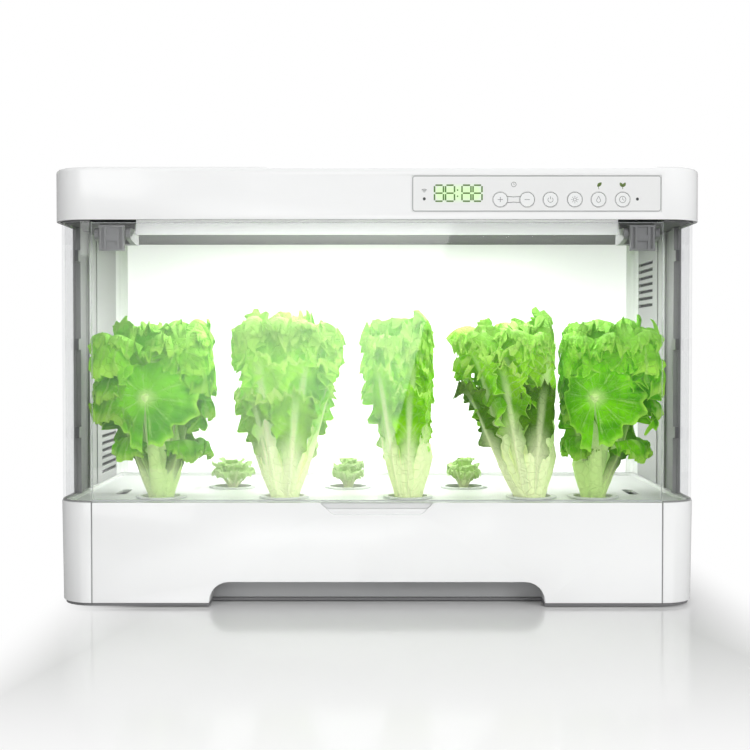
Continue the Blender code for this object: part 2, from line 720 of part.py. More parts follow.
def add_float(finish):
    """Level float: a ring that rides up a headed stem on the tank's floor."""
    centre = (FLOAT_FROM_SIDE - TANK_WIDTH / 2, tank_middle(), TANK_FLOOR + GAP)
    cap_bottom = STEM_HEIGHT - STEM_CAP_HEIGHT
    cap_radius = FLOAT_BORE + STEM_RADIUS
    profile = [
        (0, 0), (STEM_FOOT_RADIUS, 0), (STEM_FOOT_RADIUS, STEM_FOOT_HEIGHT),
        (STEM_RADIUS, STEM_FOOT_HEIGHT), (STEM_RADIUS, cap_bottom), (cap_radius, cap_bottom),
        (cap_radius, STEM_HEIGHT), (0, STEM_HEIGHT),
    ]
    stem = turned("float_stem", profile, centre, finish["grey"])
    low = STEM_FOOT_HEIGHT + GAP
    high = low + FLOAT_HEIGHT
    ring = [
        (FLOAT_BORE, low), (FLOAT_RADIUS - FLOAT_EDGE, low), (FLOAT_RADIUS, low + FLOAT_EDGE),
        (FLOAT_RADIUS, high - FLOAT_EDGE), (FLOAT_RADIUS - FLOAT_EDGE, high),
        (FLOAT_BORE, high),
    ]
    bob = turned("float", ring, centre, finish["milky"])
    return smooth(stem), smooth(bob)


def cup_place(column, row):
    x = (column - (COLUMNS - 1) / 2) * COLUMN_PITCH
    return x, {"front": FRONT_ROW_Y, "rear": REAR_ROW_Y}[row]


def add_tray(finish):
    """Planting tray: a rimmed deck on the base's shelf, with cup holes, finger holes and a skirt."""
    inset = WALL + TRAY_CLEARANCE
    bottom = DECK_TOP - DECK_THICKNESS
    tray = prism_z("planting_tray", body_plan(inset), bottom, BASE_TOP, finish["white"])
    cut(tray, prism_z("tray_dish", body_plan(inset + TRAY_RIM), DECK_TOP, BASE_TOP + OVERRUN))
    skirt_half = PANEL_WIDTH / 2 - SKIRT_END_INSET
    skirt_y = FRONT_Y + inset + SKIRT_SETBACK
    skirt = box(
        "tray_skirt",
        (-skirt_half, skirt_y, bottom - SKIRT_HEIGHT),
        (skirt_half, skirt_y + SKIRT_THICKNESS, DECK_TOP - DECK_THICKNESS / 2),
    )
    join(tray, skirt)
    radius = CUP_RADIUS + CUP_CLEARANCE
    for number, (column, row, *_) in enumerate(PLANT_SHARES.values(), 1):
        x, y = cup_place(column, row)
        hole = turned(
            f"cup_hole_{number}",
            [(0, bottom - OVERRUN), (radius, bottom - OVERRUN), (radius, DECK_TOP + OVERRUN),
             (0, DECK_TOP + OVERRUN)],
            (x, y, 0),
        )
        cut(tray, hole)
    for side in (-1, 1):
        x = side * (BODY_WIDTH / 2 - FINGER_HOLE_FROM_SIDE)
        low = (x - FINGER_HOLE_WIDTH / 2, FINGER_HOLE_Y - FINGER_HOLE_LENGTH / 2)
        high = (x + FINGER_HOLE_WIDTH / 2, FINGER_HOLE_Y + FINGER_HOLE_LENGTH / 2)
        outline = rounded_rectangle(low, high, FINGER_HOLE_WIDTH / 2 - GAP)
        hole = prism_z(
            f"finger_hole_{'left' if side < 0 else 'right'}", outline, bottom - OVERRUN,
            DECK_TOP + OVERRUN,
        )
        cut(tray, hole)
    smooth(tray)


def cup_master(finish):
    """One net cup, turned and pierced by two crossed slots, its lip on the origin's plane."""
    floor = -CUP_DEPTH
    inner, low_inner = CUP_RADIUS - CUP_WALL, CUP_BOTTOM_RADIUS - CUP_WALL
    profile = [
        (0, floor), (CUP_BOTTOM_RADIUS, floor), (CUP_RADIUS, 0), (CUP_FLANGE_RADIUS, 0),
        (CUP_FLANGE_RADIUS, CUP_FLANGE), (inner, CUP_FLANGE), (low_inner, floor + CUP_WALL),
        (0, floor + CUP_WALL),
    ]
    cup = turned("net_cup_1", profile, (0, 0, 0), finish["milky"], CUP_STEPS)
    bars = []
    reach = CUP_FLANGE_RADIUS
    low, high = floor + CUP_SLOT_RISE, floor + CUP_SLOT_RISE + CUP_SLOT_HEIGHT
    for name, half_x, half_y in (("a", reach, CUP_SLOT / 2), ("b", CUP_SLOT / 2, reach)):
        bars.append(box(f"cup_slot_{name}", (-half_x, -half_y, low), (half_x, half_y, high)))
    cut(cup, *bars)
    mesh = settled_mesh(cup)
    for piece in (cup, *bars):
        bpy.data.objects.remove(piece, do_unlink=True)
    return mesh


def plug_rings():
    """Growing plug inside the cup's flats, below a plant's stalk, as (radius, height) pairs."""
    floor = CUP_WALL + GAP
    flats = math.cos(math.pi / CUP_STEPS)
    rings = []
    for share in (0.0, 1.0):
        height = floor + PLUG_HEIGHT * share
        along = (height + PLUG_CLEARANCE) / (CUP_DEPTH + CUP_FLANGE)
        wall = CUP_BOTTOM_RADIUS + (CUP_RADIUS - CUP_BOTTOM_RADIUS) * along - CUP_WALL
        rings.append((wall * flats - PLUG_CLEARANCE, CUP_BOTTOM + height))
    return rings


def spine_point(kind, along):
    """A point of a leaf's spine, (outwards, up), at a share of the way along it."""
    back = 1 - along
    weights = (back**3, 3 * back**2 * along, 3 * back * along**2, along**3)
    return [
        sum(weight * point[axis] for weight, point in zip(weights, SPINE_SHARES[kind]))
        for axis in (0, 1)
    ]


def plant_edge(reach, angle):
    """Distance from a plant's middle to the edge of its room, which is a quarter ellipse each way."""
    left, right, front, rear = reach
    across, along = math.cos(angle), math.sin(angle)
    span_x = right if across > 0 else left
    span_y = rear if along > 0 else front
    return 1 / math.hypot(across / span_x, along / span_y)


def add_leaf(name, foot, reach, height, leaf, frill, thickness):
    """A leaf in its own sector round the stalk, arched along its spine and frilled at its edge."""
    kind, turn, out_share, high_share, spread_share = leaf
    widths = WIDTH_SHARES[kind]
    sheet = bmesh.new()
    rows = []
    for i, wide in enumerate(widths):
        along = i / (len(widths) - 1)
        out, up = spine_point(kind, along)
        row = []
        for j in range(LEAF_COLUMNS + 1):
            across = 2 * j / LEAF_COLUMNS - 1
            angle = math.tau * (turn + spread_share * wide * across)
            edge = along * across**2
            room = plant_edge(reach, angle)
            fold = frill * room * edge * (1 - math.cos(math.pi * i)) / 2
            away = out_share * out * (room - thickness) - fold
            z = foot[2] + high_share * height * (up - DROOP_SHARES[kind] * edge) - fold
            row.append(sheet.verts.new((
                foot[0] + away * math.cos(angle), foot[1] + away * math.sin(angle), z,
            )))
        rows.append(row)
    for lower, upper in zip(rows, rows[1:]):
        for j in range(LEAF_COLUMNS):
            sheet.faces.new((lower[j], lower[j + 1], upper[j + 1], upper[j]))
    made = add_object(name, sheet, None)
    shell = made.modifiers.new("leaf_thickness", "SOLIDIFY")
    shell.thickness = thickness
    shell.offset = 0
    return made


def add_plant(name, finish, centre, reach, height, leaves, sizes):
    """A plant as one body: its plug in the cup, a stalk, and leaves that grow out of it."""
    stalk, frill, thickness = sizes
    rings = []
    stalk_rings = [(share * stalk, PLANT_FOOT + rise * height) for rise, share in STALK_SHARES]
    for radius, z in plug_rings() + stalk_rings:
        circle = [math.tau * i / STALK_STEPS for i in range(STALK_STEPS)]
        rings.append([
            (centre[0] + radius * math.cos(a), centre[1] + radius * math.sin(a), z)
            for a in circle
        ])
    plant = loft(name, rings, finish)
    foot = (*centre, PLANT_FOOT)
    for number, leaf in enumerate(leaves, 1):
        guide = f"{name}_leaf_{number}"
        join(plant, add_leaf(guide, foot, reach, height, leaf, frill, thickness))
    return smooth(plant, 60)


def plant_reach(column, row, shares):
    """How far a plant spreads to the left, right, front and back, kept off walls and door."""
    left, right, front, rear = shares
    to_wall = COLUMN_PITCH / 2 + END_MARGIN
    return [
        left * (to_wall if column == 0 else COLUMN_PITCH),
        right * (to_wall if column == COLUMNS - 1 else COLUMN_PITCH),
        front * (ROW_FROM_FRONT if row == "front" else COLUMN_PITCH),
        rear * COLUMN_PITCH,
    ]


def add_plants(finish):
    """Eight net cups, five grown heads and three seedlings, each pair on its own lift axis."""
    cup_mesh = cup_master(finish)
    kinds = {
        "round": (
            finish["leaf"], LETTUCE_HEIGHT, ROUND_LEAF_SHARES,
            (ROUND_STALK_RADIUS, FRILL_SHARE, LEAF_THICKNESS),
        ),
        "tall": (
            finish["dark_leaf"], LETTUCE_HEIGHT, TALL_LEAF_SHARES,
            (TALL_STALK_RADIUS, FRILL_SHARE, LEAF_THICKNESS),
        ),
        "seedling": (
            finish["sprout"], SEEDLING_HEIGHT, SPROUT_LEAF_SHARES,
            (SEEDLING_STALK_RADIUS, SEEDLING_FRILL_SHARE, SEEDLING_LEAF_THICKNESS),
        ),
    }
    for number, (name, (column, row, *shares)) in enumerate(PLANT_SHARES.items(), 1):
        x, y = cup_place(column, row)
        kind = "seedling" if name.startswith("seedling") else "tall"
        if column in (0, COLUMNS - 1):
            kind = "round"
        leaf_finish, height, leaves, sizes = kinds[kind]
        reach = plant_reach(column, row, shares)
        plant = add_plant(name, leaf_finish, (x, y), reach, height, leaves, sizes)
        cup = bpy.data.objects.new(f"net_cup_{number}", cup_mesh)
        bpy.context.scene.collection.objects.link(cup)
        lift = carry(f"lift_axis_{number}", (x, y, DECK_TOP + GAP), [plant])
        cup.parent = lift
        smooth(cup)


def side_path(inset, start_y):
    """Left side wall's face from the window back round the rear corner, as seen from above."""
    half_x, half_y = BODY_WIDTH / 2, BODY_DEPTH / 2
    corner = (REAR_CORNER - half_x, half_y - REAR_CORNER)
    round_part = arc(corner, max(REAR_CORNER - inset, LEAST_RADIUS), 180, 90)
    return [(inset - half_x, start_y)] + round_part


def add_walls(finish):
    """Clear corner windows, opaque side walls with posts and vents, and the rear panel."""
    half_x = BODY_WIDTH / 2
    for side, turn in (("left", 1), ("right", -1)):
        start = WINDOW_END_Y + GAP
        outer = side_path(0, start)
        inner = side_path(WALL, LINER_Y)
        face, post = WALL - half_x, WALL + POST_DEPTH - half_x
        rib, liner = WALL + RIB_DEPTH - half_x, WALL + RIB_DEPTH / 2 - half_x
        steps = [
            (liner, LINER_Y), (face, LINER_Y), (face, RIB_Y + RIB_WIDTH), (rib, RIB_Y + RIB_WIDTH),
            (rib, RIB_Y), (face, RIB_Y), (face, start + POST_WIDTH), (post, start + POST_WIDTH),
            (post, start),
        ]
        liner_path = side_path(WALL + RIB_DEPTH / 2, LINER_Y)[1:]
        outline = outer + [(-REAR_PANEL_HALF, REAR_Y - WALL)]
        outline += [p for p in reversed(liner_path) if p[1] < REAR_Y - WALL - RIB_DEPTH / 2]
        outline += steps
        wall = prism_z(
            f"side_wall_{side}", [(turn * x, y) for x, y in outline], WALL_FOOT, WALL_HEAD,
            finish["white"],
        )
        for number in range(CLIPS):
            middle = CLIP_LOWEST + (CLIP_HIGHEST - CLIP_LOWEST) * number / (CLIPS - 1)
            window_face = WINDOW_SETBACK + WINDOW_THICKNESS + GAP - half_x
            xs = sorted((turn * window_face, turn * post))
            clip = box(
                f"clip_{side}_{number}",
                (xs[0], start - CLIP_REACH, middle - CLIP_HEIGHT / 2),
                (xs[1], start + POST_WIDTH / 2, middle + CLIP_HEIGHT / 2),
            )
            join(wall, clip)
        count = LOWER_VENTS if side == "left" else UPPER_VENTS
        lowest = LOWER_VENT_LOWEST if side == "left" else UPPER_VENT_LOWEST
        xs = sorted((turn * (-half_x - OVERRUN), turn * (post + OVERRUN)))
        for number in range(count):
            low = lowest + VENT_PITCH * number
            vent = box(
                f"vent_{side}_{number}",
                (xs[0], REAR_Y - VENT_FROM_REAR - VENT_LENGTH, low),
                (xs[1], REAR_Y - VENT_FROM_REAR, low + VENT_HEIGHT),
            )
            cut(wall, vent)
        smooth(wall)
        add_window(side, turn, finish)
    half = REAR_PANEL_HALF - GAP
    box("rear_panel", (-half, REAR_Y - WALL, WALL_FOOT), (half, REAR_Y, WALL_HEAD), finish["white"])


def add_window(side, turn, finish):
    """Clear window from the door's edge round the front corner to the side wall's post."""
    outline = []
    for inset, backwards in ((WINDOW_SETBACK, False), (WINDOW_SETBACK + WINDOW_THICKNESS, True)):
        corner = (FRONT_CORNER - BODY_WIDTH / 2, FRONT_CORNER + FRONT_Y)
        bend = arc(corner, FRONT_CORNER - inset, 270, 180)
        path = [(-PANEL_WIDTH / 2 - GAP, FRONT_Y + inset)] + bend
        path.append((inset - BODY_WIDTH / 2, WINDOW_END_Y))
        outline += list(reversed(path)) if backwards else path
    mirrored = [(turn * x, y) for x, y in outline]
    smooth(
        prism_z(f"corner_window_{side}", mirrored, WALL_FOOT, WALL_HEAD, finish["clear"])
    )


def add_hood(finish):
    """Hood shell with a rounded top edge, the panel's recess, key holes and board bosses."""
    rings = [standing(body_plan(-HOOD_OVERHANG), CABIN_TOP)]
    for step in range(EDGE_STEPS + 1):
        angle = math.radians(90 * step / EDGE_STEPS)
        drawn_in = HOOD_EDGE * (1 - math.cos(angle))
        z = HOOD_TOP - HOOD_EDGE + HOOD_EDGE * math.sin(angle)
        rings.append(standing(body_plan(drawn_in - HOOD_OVERHANG), z))
    hood = loft("hood_shell", rings, finish["white"])
    hollow = prism_z(
        "hood_hollow", body_plan(WALL - HOOD_OVERHANG), CABIN_TOP - OVERRUN, HOOD_TOP - WALL
    )
    cut(hood, hollow)
    half_w, half_h = OVERLAY_WIDTH / 2, OVERLAY_HEIGHT / 2
    recess = prism_y(
        "overlay_recess",
        rounded_rectangle(
            (OVERLAY_X - half_w, OVERLAY_Z - half_h), (OVERLAY_X + half_w, OVERLAY_Z + half_h),
            OVERLAY_CORNER,
        ),
        HOOD_FRONT_Y - OVERRUN,
        HOOD_FRONT_Y + OVERLAY_RECESS,
    )
    cut(hood, recess)
    board_front = HOOD_FRONT_Y + WALL + BOARD_SETBACK
    for number, (x, z) in enumerate(board_corners(BOSS_INSET), 1):
        profile = [
            (0, HOOD_FRONT_Y + WALL / 2), (BOSS_RADIUS, HOOD_FRONT_Y + WALL / 2),
            (BOSS_RADIUS, board_front - GAP), (0, board_front - GAP),
        ]
        boss_steps = ROUND_STEPS // 2
        join(hood, turned(f"board_boss_{number}", profile, (x, 0, z), None, boss_steps, "y"))
    pierce_panel(hood, "hood", HOOD_FRONT_Y - OVERRUN, HOOD_FRONT_Y + WALL + OVERRUN)
    smooth(hood)
    add_underside(finish)
    add_control_panel(finish)


def board_corners(inset):
    half_w = OVERLAY_WIDTH / 2 - BOARD_MARGIN - inset
    half_h = OVERLAY_HEIGHT / 2 - BOARD_MARGIN - inset
    return [
        (OVERLAY_X + side * half_w, OVERLAY_Z + end * half_h)
        for side in (-1, 1)
        for end in (-1, 1)
    ]


def pierce_panel(target, owner, front, rear):
    """Cuts the display's window and the six key holes through a piece of the hood's front."""
    half_w, half_h = LENS_WIDTH / 2 + KEY_CLEARANCE, LENS_HEIGHT / 2 + KEY_CLEARANCE
    window = box(
        f"{owner}_lens_hole",
        (LENS_X - half_w, front, LENS_Z - half_h),
        (LENS_X + half_w, rear, LENS_Z + half_h),
    )
    cut(target, window)
    radius = KEY_RADIUS + KEY_CLEARANCE
    for name, share in KEY_SHARES.items():
        x = OVERLAY_X + share * OVERLAY_WIDTH
        profile = [(0, front), (radius, front), (radius, rear), (0, rear)]
        cut(target, turned(f"{owner}_{name}_hole", profile, (x, 0, KEY_Z), axis="y"))


def add_underside(finish):
    """Closing plate of the hood, stepped up in front to let the door's top edge swing."""
    top = CABIN_TOP + DOOR_POCKET_RISE + UNDERSIDE_THICKNESS
    inset = WALL + GAP - HOOD_OVERHANG
    plate = prism_z("hood_underside", body_plan(inset), CABIN_TOP, top, finish["grey"])
    half_pocket = PANEL_WIDTH / 2 + TRAY_CLEARANCE
    pocket = box(
        "door_pocket",
        (-half_pocket, HOOD_FRONT_Y - OVERRUN, CABIN_TOP - OVERRUN),
        (half_pocket, POCKET_REAR_Y, CABIN_TOP + DOOR_POCKET_RISE),
    )
    floor_top = CABIN_TOP + UNDERSIDE_THICKNESS
    riser_rear = POCKET_REAR_Y + UNDERSIDE_THICKNESS
    loft_room = box(
        "lamp_room",
        (-BODY_WIDTH / 2 - OVERRUN, riser_rear, floor_top),
        (BODY_WIDTH / 2 + OVERRUN, REAR_Y + HOOD_OVERHANG + OVERRUN, top + OVERRUN),
    )
    half_lamp = LAMP_WIDTH / 2
    lamp_hole = box(
        "lamp_hole",
        (-half_lamp, LAMP_FRONT_Y, CABIN_TOP - OVERRUN),
        (half_lamp, LAMP_REAR_Y, floor_top + OVERRUN),
    )
    cut(plate, pocket, loft_room, lamp_hole)
    add_lamp(finish, floor_top)
    half_shield = PANEL_WIDTH / 2 - SHIELD_FROM_PANEL_END
    shield_rear = POCKET_REAR_Y - GAP
    box(
        "glare_shield",
        (-half_shield, shield_rear - SHIELD_THICKNESS, CABIN_TOP - SHIELD_DROP),
        (half_shield, shield_rear, CABIN_TOP + DOOR_POCKET_RISE - GAP),
        finish["white"],
    )


def add_lamp(finish, seat):
    """Milky diffuser in the underside's opening, and the LED board that lies on its lip."""
    half = LAMP_WIDTH / 2 - GAP
    front, rear = LAMP_FRONT_Y + GAP, LAMP_REAR_Y - GAP
    lip_bottom, lip_top = seat + GAP, seat + GAP + LAMP_LIP_THICKNESS
    diffuser = box("lamp_diffuser", (-half, front, CABIN_TOP), (half, rear, lip_top), finish["milky"])
    lip_half = LAMP_WIDTH / 2 + LAMP_LIP
    lip_front, lip_rear = LAMP_FRONT_Y - LAMP_LIP, LAMP_REAR_Y + LAMP_LIP
    lip = box(
        "diffuser_lip", (-lip_half, lip_front, lip_bottom), (lip_half, lip_rear, lip_top)
    )
    join(diffuser, lip)
    board_bottom = lip_top + GAP
    box(
        "led_board",
        (-half, lip_front, board_bottom),
        (half, lip_rear, board_bottom + LED_BOARD_THICKNESS),
        finish["metal"],
    )


def add_control_panel(finish):
    """Overlay in its recess, the display's lens and module, the board and six sprung keys."""
    floor = HOOD_FRONT_Y + OVERLAY_RECESS
    half_w, half_h = OVERLAY_WIDTH / 2 - GAP, OVERLAY_HEIGHT / 2 - GAP
    overlay = prism_y(
        "control_panel",
        rounded_rectangle(
            (OVERLAY_X - half_w, OVERLAY_Z - half_h), (OVERLAY_X + half_w, OVERLAY_Z + half_h),
            OVERLAY_CORNER - GAP,
        ),
        floor - GAP - OVERLAY_THICKNESS,
        floor - GAP,
        finish["panel"],
    )
    pierce_panel(overlay, "panel", floor - OVERRUN, floor + OVERRUN)
    lens_front = floor - GAP - OVERLAY_THICKNESS
    lens_rear = lens_front + LENS_DEPTH
    half_lens, half_tall = LENS_WIDTH / 2, LENS_HEIGHT / 2
    box(
        "display_lens",
        (LENS_X - half_lens, lens_front, LENS_Z - half_tall),
        (LENS_X + half_lens, lens_rear, LENS_Z + half_tall),
        finish["clear"],
    )
    board_front = HOOD_FRONT_Y + WALL + BOARD_SETBACK
    box(
        "display_module",
        (LENS_X - half_lens - MODULE_MARGIN, lens_rear + GAP, LENS_Z - half_tall + MODULE_MARGIN),
        (LENS_X + half_lens + MODULE_MARGIN, board_front - GAP, LENS_Z + half_tall - MODULE_MARGIN),
        finish["black"],
    )
    half_w, half_h = OVERLAY_WIDTH / 2 - BOARD_MARGIN, OVERLAY_HEIGHT / 2 - BOARD_MARGIN
    box(
        "control_board",
        (OVERLAY_X - half_w, board_front, OVERLAY_Z - half_h),
        (OVERLAY_X + half_w, board_front + BOARD_THICKNESS, OVERLAY_Z + half_h),
        finish["board"],
    )
    for name, share in KEY_SHARES.items():
        add_key(name, OVERLAY_X + share * OVERLAY_WIDTH, board_front, finish)


def add_key(name, x, board_front, finish):
    """A round key: its cap through the hood, a flange that stops it, and a stem to its switch."""
    face = HOOD_FRONT_Y
    flange_front = HOOD_FRONT_Y + WALL + GAP
    flange_rear = flange_front + KEY_FLANGE_THICKNESS
    tip = board_front - KEY_TRAVEL - GAP
    flange_radius = KEY_RADIUS + KEY_FLANGE
    profile = [
        (0, face), (KEY_RADIUS - KEY_EDGE, face), (KEY_RADIUS, face + KEY_EDGE),
        (KEY_RADIUS, flange_front), (flange_radius, flange_front), (flange_radius, flange_rear),
        (KEY_STEM, flange_rear), (KEY_STEM, tip), (0, tip),
    ]
    key = turned(f"key_{name}", profile, (x, 0, KEY_Z), finish["panel"], axis="y")
    carry(f"key_axis_{name}", (x, face, KEY_Z), [smooth(key)])


def circle_arc(radius, start, end):
    return arc((AXIS_Y, AXIS_Z), radius, start, end)


def add_hinge(side, turn, finish):
    """Bracket under the hood with two pierced ears, and the door's arm with its pin between."""
    far = PANEL_WIDTH / 2 - BRACKET_FROM_PANEL_END
    near = far - BRACKET_WIDTH
    block_front = POCKET_REAR_Y + GAP
    block_rear = block_front + BRACKET_DEPTH
    block_bottom = WALL_HEAD - BRACKET_HEIGHT
    ear_outline = circle_arc(EAR_RADIUS, 90, 270) + [
        (block_front, block_bottom), (block_rear, block_bottom), (block_rear, WALL_HEAD),
        (block_front, WALL_HEAD), (block_front, AXIS_Z + EAR_RADIUS + GAP),
    ]
    xs = sorted((turn * near, turn * far))
    bracket = prism_x(f"hinge_bracket_{side}", ear_outline, *xs, finish["grey"])
    slot_xs = sorted((turn * (near + BRACKET_EAR), turn * (far - BRACKET_EAR)))
    slot = box(
        f"bracket_slot_{side}",
        (slot_xs[0], AXIS_Y - EAR_RADIUS - OVERRUN, block_bottom - OVERRUN),
        (slot_xs[1], block_front + WALL, WALL_HEAD - WALL),
    )
    bore_radius = PIN_RADIUS + PIN_CLEARANCE
    bore_ends = (xs[0] - OVERRUN, xs[1] + OVERRUN)
    bore = turned(
        f"bracket_bore_{side}",
        [(0, bore_ends[0]), (bore_radius, bore_ends[0]), (bore_radius, bore_ends[1]),
         (0, bore_ends[1])],
        (0, AXIS_Y, AXIS_Z),
        axis="x",
    )
    smooth(cut(bracket, slot, bore))
    pad_front = FRONT_Y + DOOR_THICKNESS + GAP
    pad_rear = pad_front + PAD_THICKNESS
    arm_outline = [
        (pad_front, AXIS_Z + PAD_ABOVE_AXIS), (pad_front, AXIS_Z - PAD_BELOW_AXIS),
        (pad_rear, AXIS_Z - PAD_BELOW_AXIS), (pad_rear, AXIS_Z - KNUCKLE_RADIUS - PAD_THICKNESS),
    ]
    arm_outline += circle_arc(KNUCKLE_RADIUS, -90, 90)
    arm_outline += [(pad_rear, AXIS_Z + KNUCKLE_RADIUS + GAP), (pad_rear, AXIS_Z + PAD_ABOVE_AXIS)]
    arm_xs = (slot_xs[0] + KNUCKLE_CLEARANCE, slot_xs[1] - KNUCKLE_CLEARANCE)
    arm = prism_x(f"hinge_arm_{side}", arm_outline, *arm_xs, finish["grey"])
    pin_ends = (xs[0] + KNUCKLE_CLEARANCE, xs[1] - KNUCKLE_CLEARANCE)
    pin = turned(
        f"hinge_pin_{side}",
        [(0, pin_ends[0]), (PIN_RADIUS, pin_ends[0]), (PIN_RADIUS, pin_ends[1]),
         (0, pin_ends[1])],
        (0, AXIS_Y, AXIS_Z),
        axis="x",
    )
    return smooth(join(arm, pin))


def add_door(finish):
    """Clear door pane hung on its two arms, all turning about the hinge line."""
    half = PANEL_WIDTH / 2 - DOOR_SIDE_GAP
    pane = box(
        "door_pane",
        (-half, FRONT_Y, BASE_TOP + DOOR_BOTTOM_GAP),
        (half, FRONT_Y + DOOR_THICKNESS, CABIN_TOP - DOOR_TOP_GAP),
        finish["clear"],
    )
    arms = [add_hinge(side, turn, finish) for side, turn in (("left", -1), ("right", 1))]
    carry("door_axis", (0, AXIS_Y, AXIS_Z), [pane, *arms])


def main():
    clear_scene()
    finish = make_materials()
    add_base(finish)
    add_drawer(finish)
    add_tray(finish)
    add_plants(finish)
    add_walls(finish)
    add_hood(finish)
    add_door(finish)


main()
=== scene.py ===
# %% [markdown]
# # A countertop hydroponic garden, dressed for its portrait
# The garden is a white cabinet for a kitchen worktop. A tank of water in the base feeds eight net
# cups, a lamp in the hood feeds the leaves, and a clear door keeps the moist air in.
# The solids come from a measured model, so everything here is in metres and in its frame. What
# this lesson adds is what a measured solid lacks: softened edges, finishes, print, light and real
# leaves. Each piece rides on a body of the model, so that it moves when the door or drawer does.

# %% Load the measured frame
import json
import math

import bmesh
import bpy
import numpy as np
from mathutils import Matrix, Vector

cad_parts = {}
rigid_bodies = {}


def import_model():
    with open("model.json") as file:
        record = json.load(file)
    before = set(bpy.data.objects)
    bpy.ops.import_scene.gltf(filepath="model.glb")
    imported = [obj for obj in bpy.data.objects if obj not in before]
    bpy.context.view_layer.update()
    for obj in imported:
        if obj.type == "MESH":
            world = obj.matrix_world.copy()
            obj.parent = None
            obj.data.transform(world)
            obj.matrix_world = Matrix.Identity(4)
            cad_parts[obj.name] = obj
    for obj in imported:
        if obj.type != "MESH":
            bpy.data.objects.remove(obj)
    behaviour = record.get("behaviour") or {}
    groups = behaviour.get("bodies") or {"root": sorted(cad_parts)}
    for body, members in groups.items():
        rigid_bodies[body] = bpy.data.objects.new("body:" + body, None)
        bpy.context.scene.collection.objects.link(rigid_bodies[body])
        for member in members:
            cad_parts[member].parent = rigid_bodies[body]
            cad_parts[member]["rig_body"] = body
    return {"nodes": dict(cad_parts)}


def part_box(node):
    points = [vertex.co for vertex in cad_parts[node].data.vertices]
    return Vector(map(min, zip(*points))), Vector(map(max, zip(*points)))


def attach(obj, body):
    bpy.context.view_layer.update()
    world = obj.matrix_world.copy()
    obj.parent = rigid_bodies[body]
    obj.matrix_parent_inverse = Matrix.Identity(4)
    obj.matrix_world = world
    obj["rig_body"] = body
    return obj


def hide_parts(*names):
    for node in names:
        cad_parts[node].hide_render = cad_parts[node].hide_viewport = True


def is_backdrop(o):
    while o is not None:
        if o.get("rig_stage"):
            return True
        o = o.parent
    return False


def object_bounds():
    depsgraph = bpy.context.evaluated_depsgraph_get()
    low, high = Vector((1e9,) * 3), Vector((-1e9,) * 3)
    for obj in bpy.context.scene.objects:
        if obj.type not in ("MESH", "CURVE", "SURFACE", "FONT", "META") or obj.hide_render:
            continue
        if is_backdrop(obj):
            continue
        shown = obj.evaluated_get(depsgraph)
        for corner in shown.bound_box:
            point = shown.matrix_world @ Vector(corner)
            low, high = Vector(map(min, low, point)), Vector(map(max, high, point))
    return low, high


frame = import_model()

MM = 0.001
NODES = frame["nodes"]
solid_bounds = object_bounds()
print("the measured garden spans", solid_bounds)

# %% [markdown]
# ## Picking pieces up and putting them down
# Blender's operators act on whatever is selected, and the loaded model starts selected. A small
# pair of helpers keeps that under control: one lays everything down, and one picks up a single
# piece. Selecting by place, in code, then does what a click does by hand.

# %% Selection helpers
def put_down():
    """Leaves edit mode and selects nothing."""
    if bpy.context.object and bpy.context.object.mode != "OBJECT":
        bpy.ops.object.mode_set(mode="OBJECT")
    bpy.ops.object.select_all(action="DESELECT")


def pick_up(*pieces):
    """Selects only these pieces, and makes the first one active."""
    put_down()
    for piece in pieces:
        piece.select_set(True)
    bpy.context.view_layer.objects.active = pieces[0]
    return pieces[0]


def select_faces(piece, test):
    """Enters edit mode on a piece and selects the faces whose middle and normal pass a test."""
    pick_up(piece)
    bpy.ops.object.mode_set(mode="EDIT")
    bpy.ops.mesh.select_mode(type="FACE")
    bpy.ops.mesh.select_all(action="DESELECT")
    shape = bmesh.from_edit_mesh(piece.data)
    for face in shape.faces:
        face.select = test(face.calc_center_median(), face.normal)
    shape.select_flush(True)
    bmesh.update_edit_mesh(piece.data)


def apply_all(piece):
    """Applies a piece's modifiers in their order."""
    pick_up(piece)
    for modifier in list(piece.modifiers):
        bpy.ops.object.modifier_apply(modifier=modifier.name)


def join(name, pieces):
    """Joins pieces into one object of that name."""
    pick_up(*pieces)
    if len(pieces) > 1:
        bpy.ops.object.join()
    joined = bpy.context.object
    joined.name = joined.data.name = name
    return joined


def settle(piece, body, finish=None, smooth=35):
    """Puts a piece's place into its mesh, smooths its gentle edges and sets it on its body."""
    pick_up(piece)
    bpy.ops.object.transform_apply(location=True, rotation=True, scale=True)
    bpy.ops.object.shade_smooth_by_angle(angle=math.radians(smooth))
    if finish is not None:
        piece.data.materials.clear()
        piece.data.materials.append(finish)
    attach(piece, body)
    return piece


# %% [markdown]
# ## Writing shader maths as plain expressions
# A finish is a small tree of nodes. Wiring each Math node by hand hides what is meant, so a
# number that changes over a surface is wrapped in a class whose operators add the nodes. Then
# "1 - mask * 0.4" reads as it does on paper. Every other node comes from one method, which takes
# its type, its settings and what goes into its sockets.

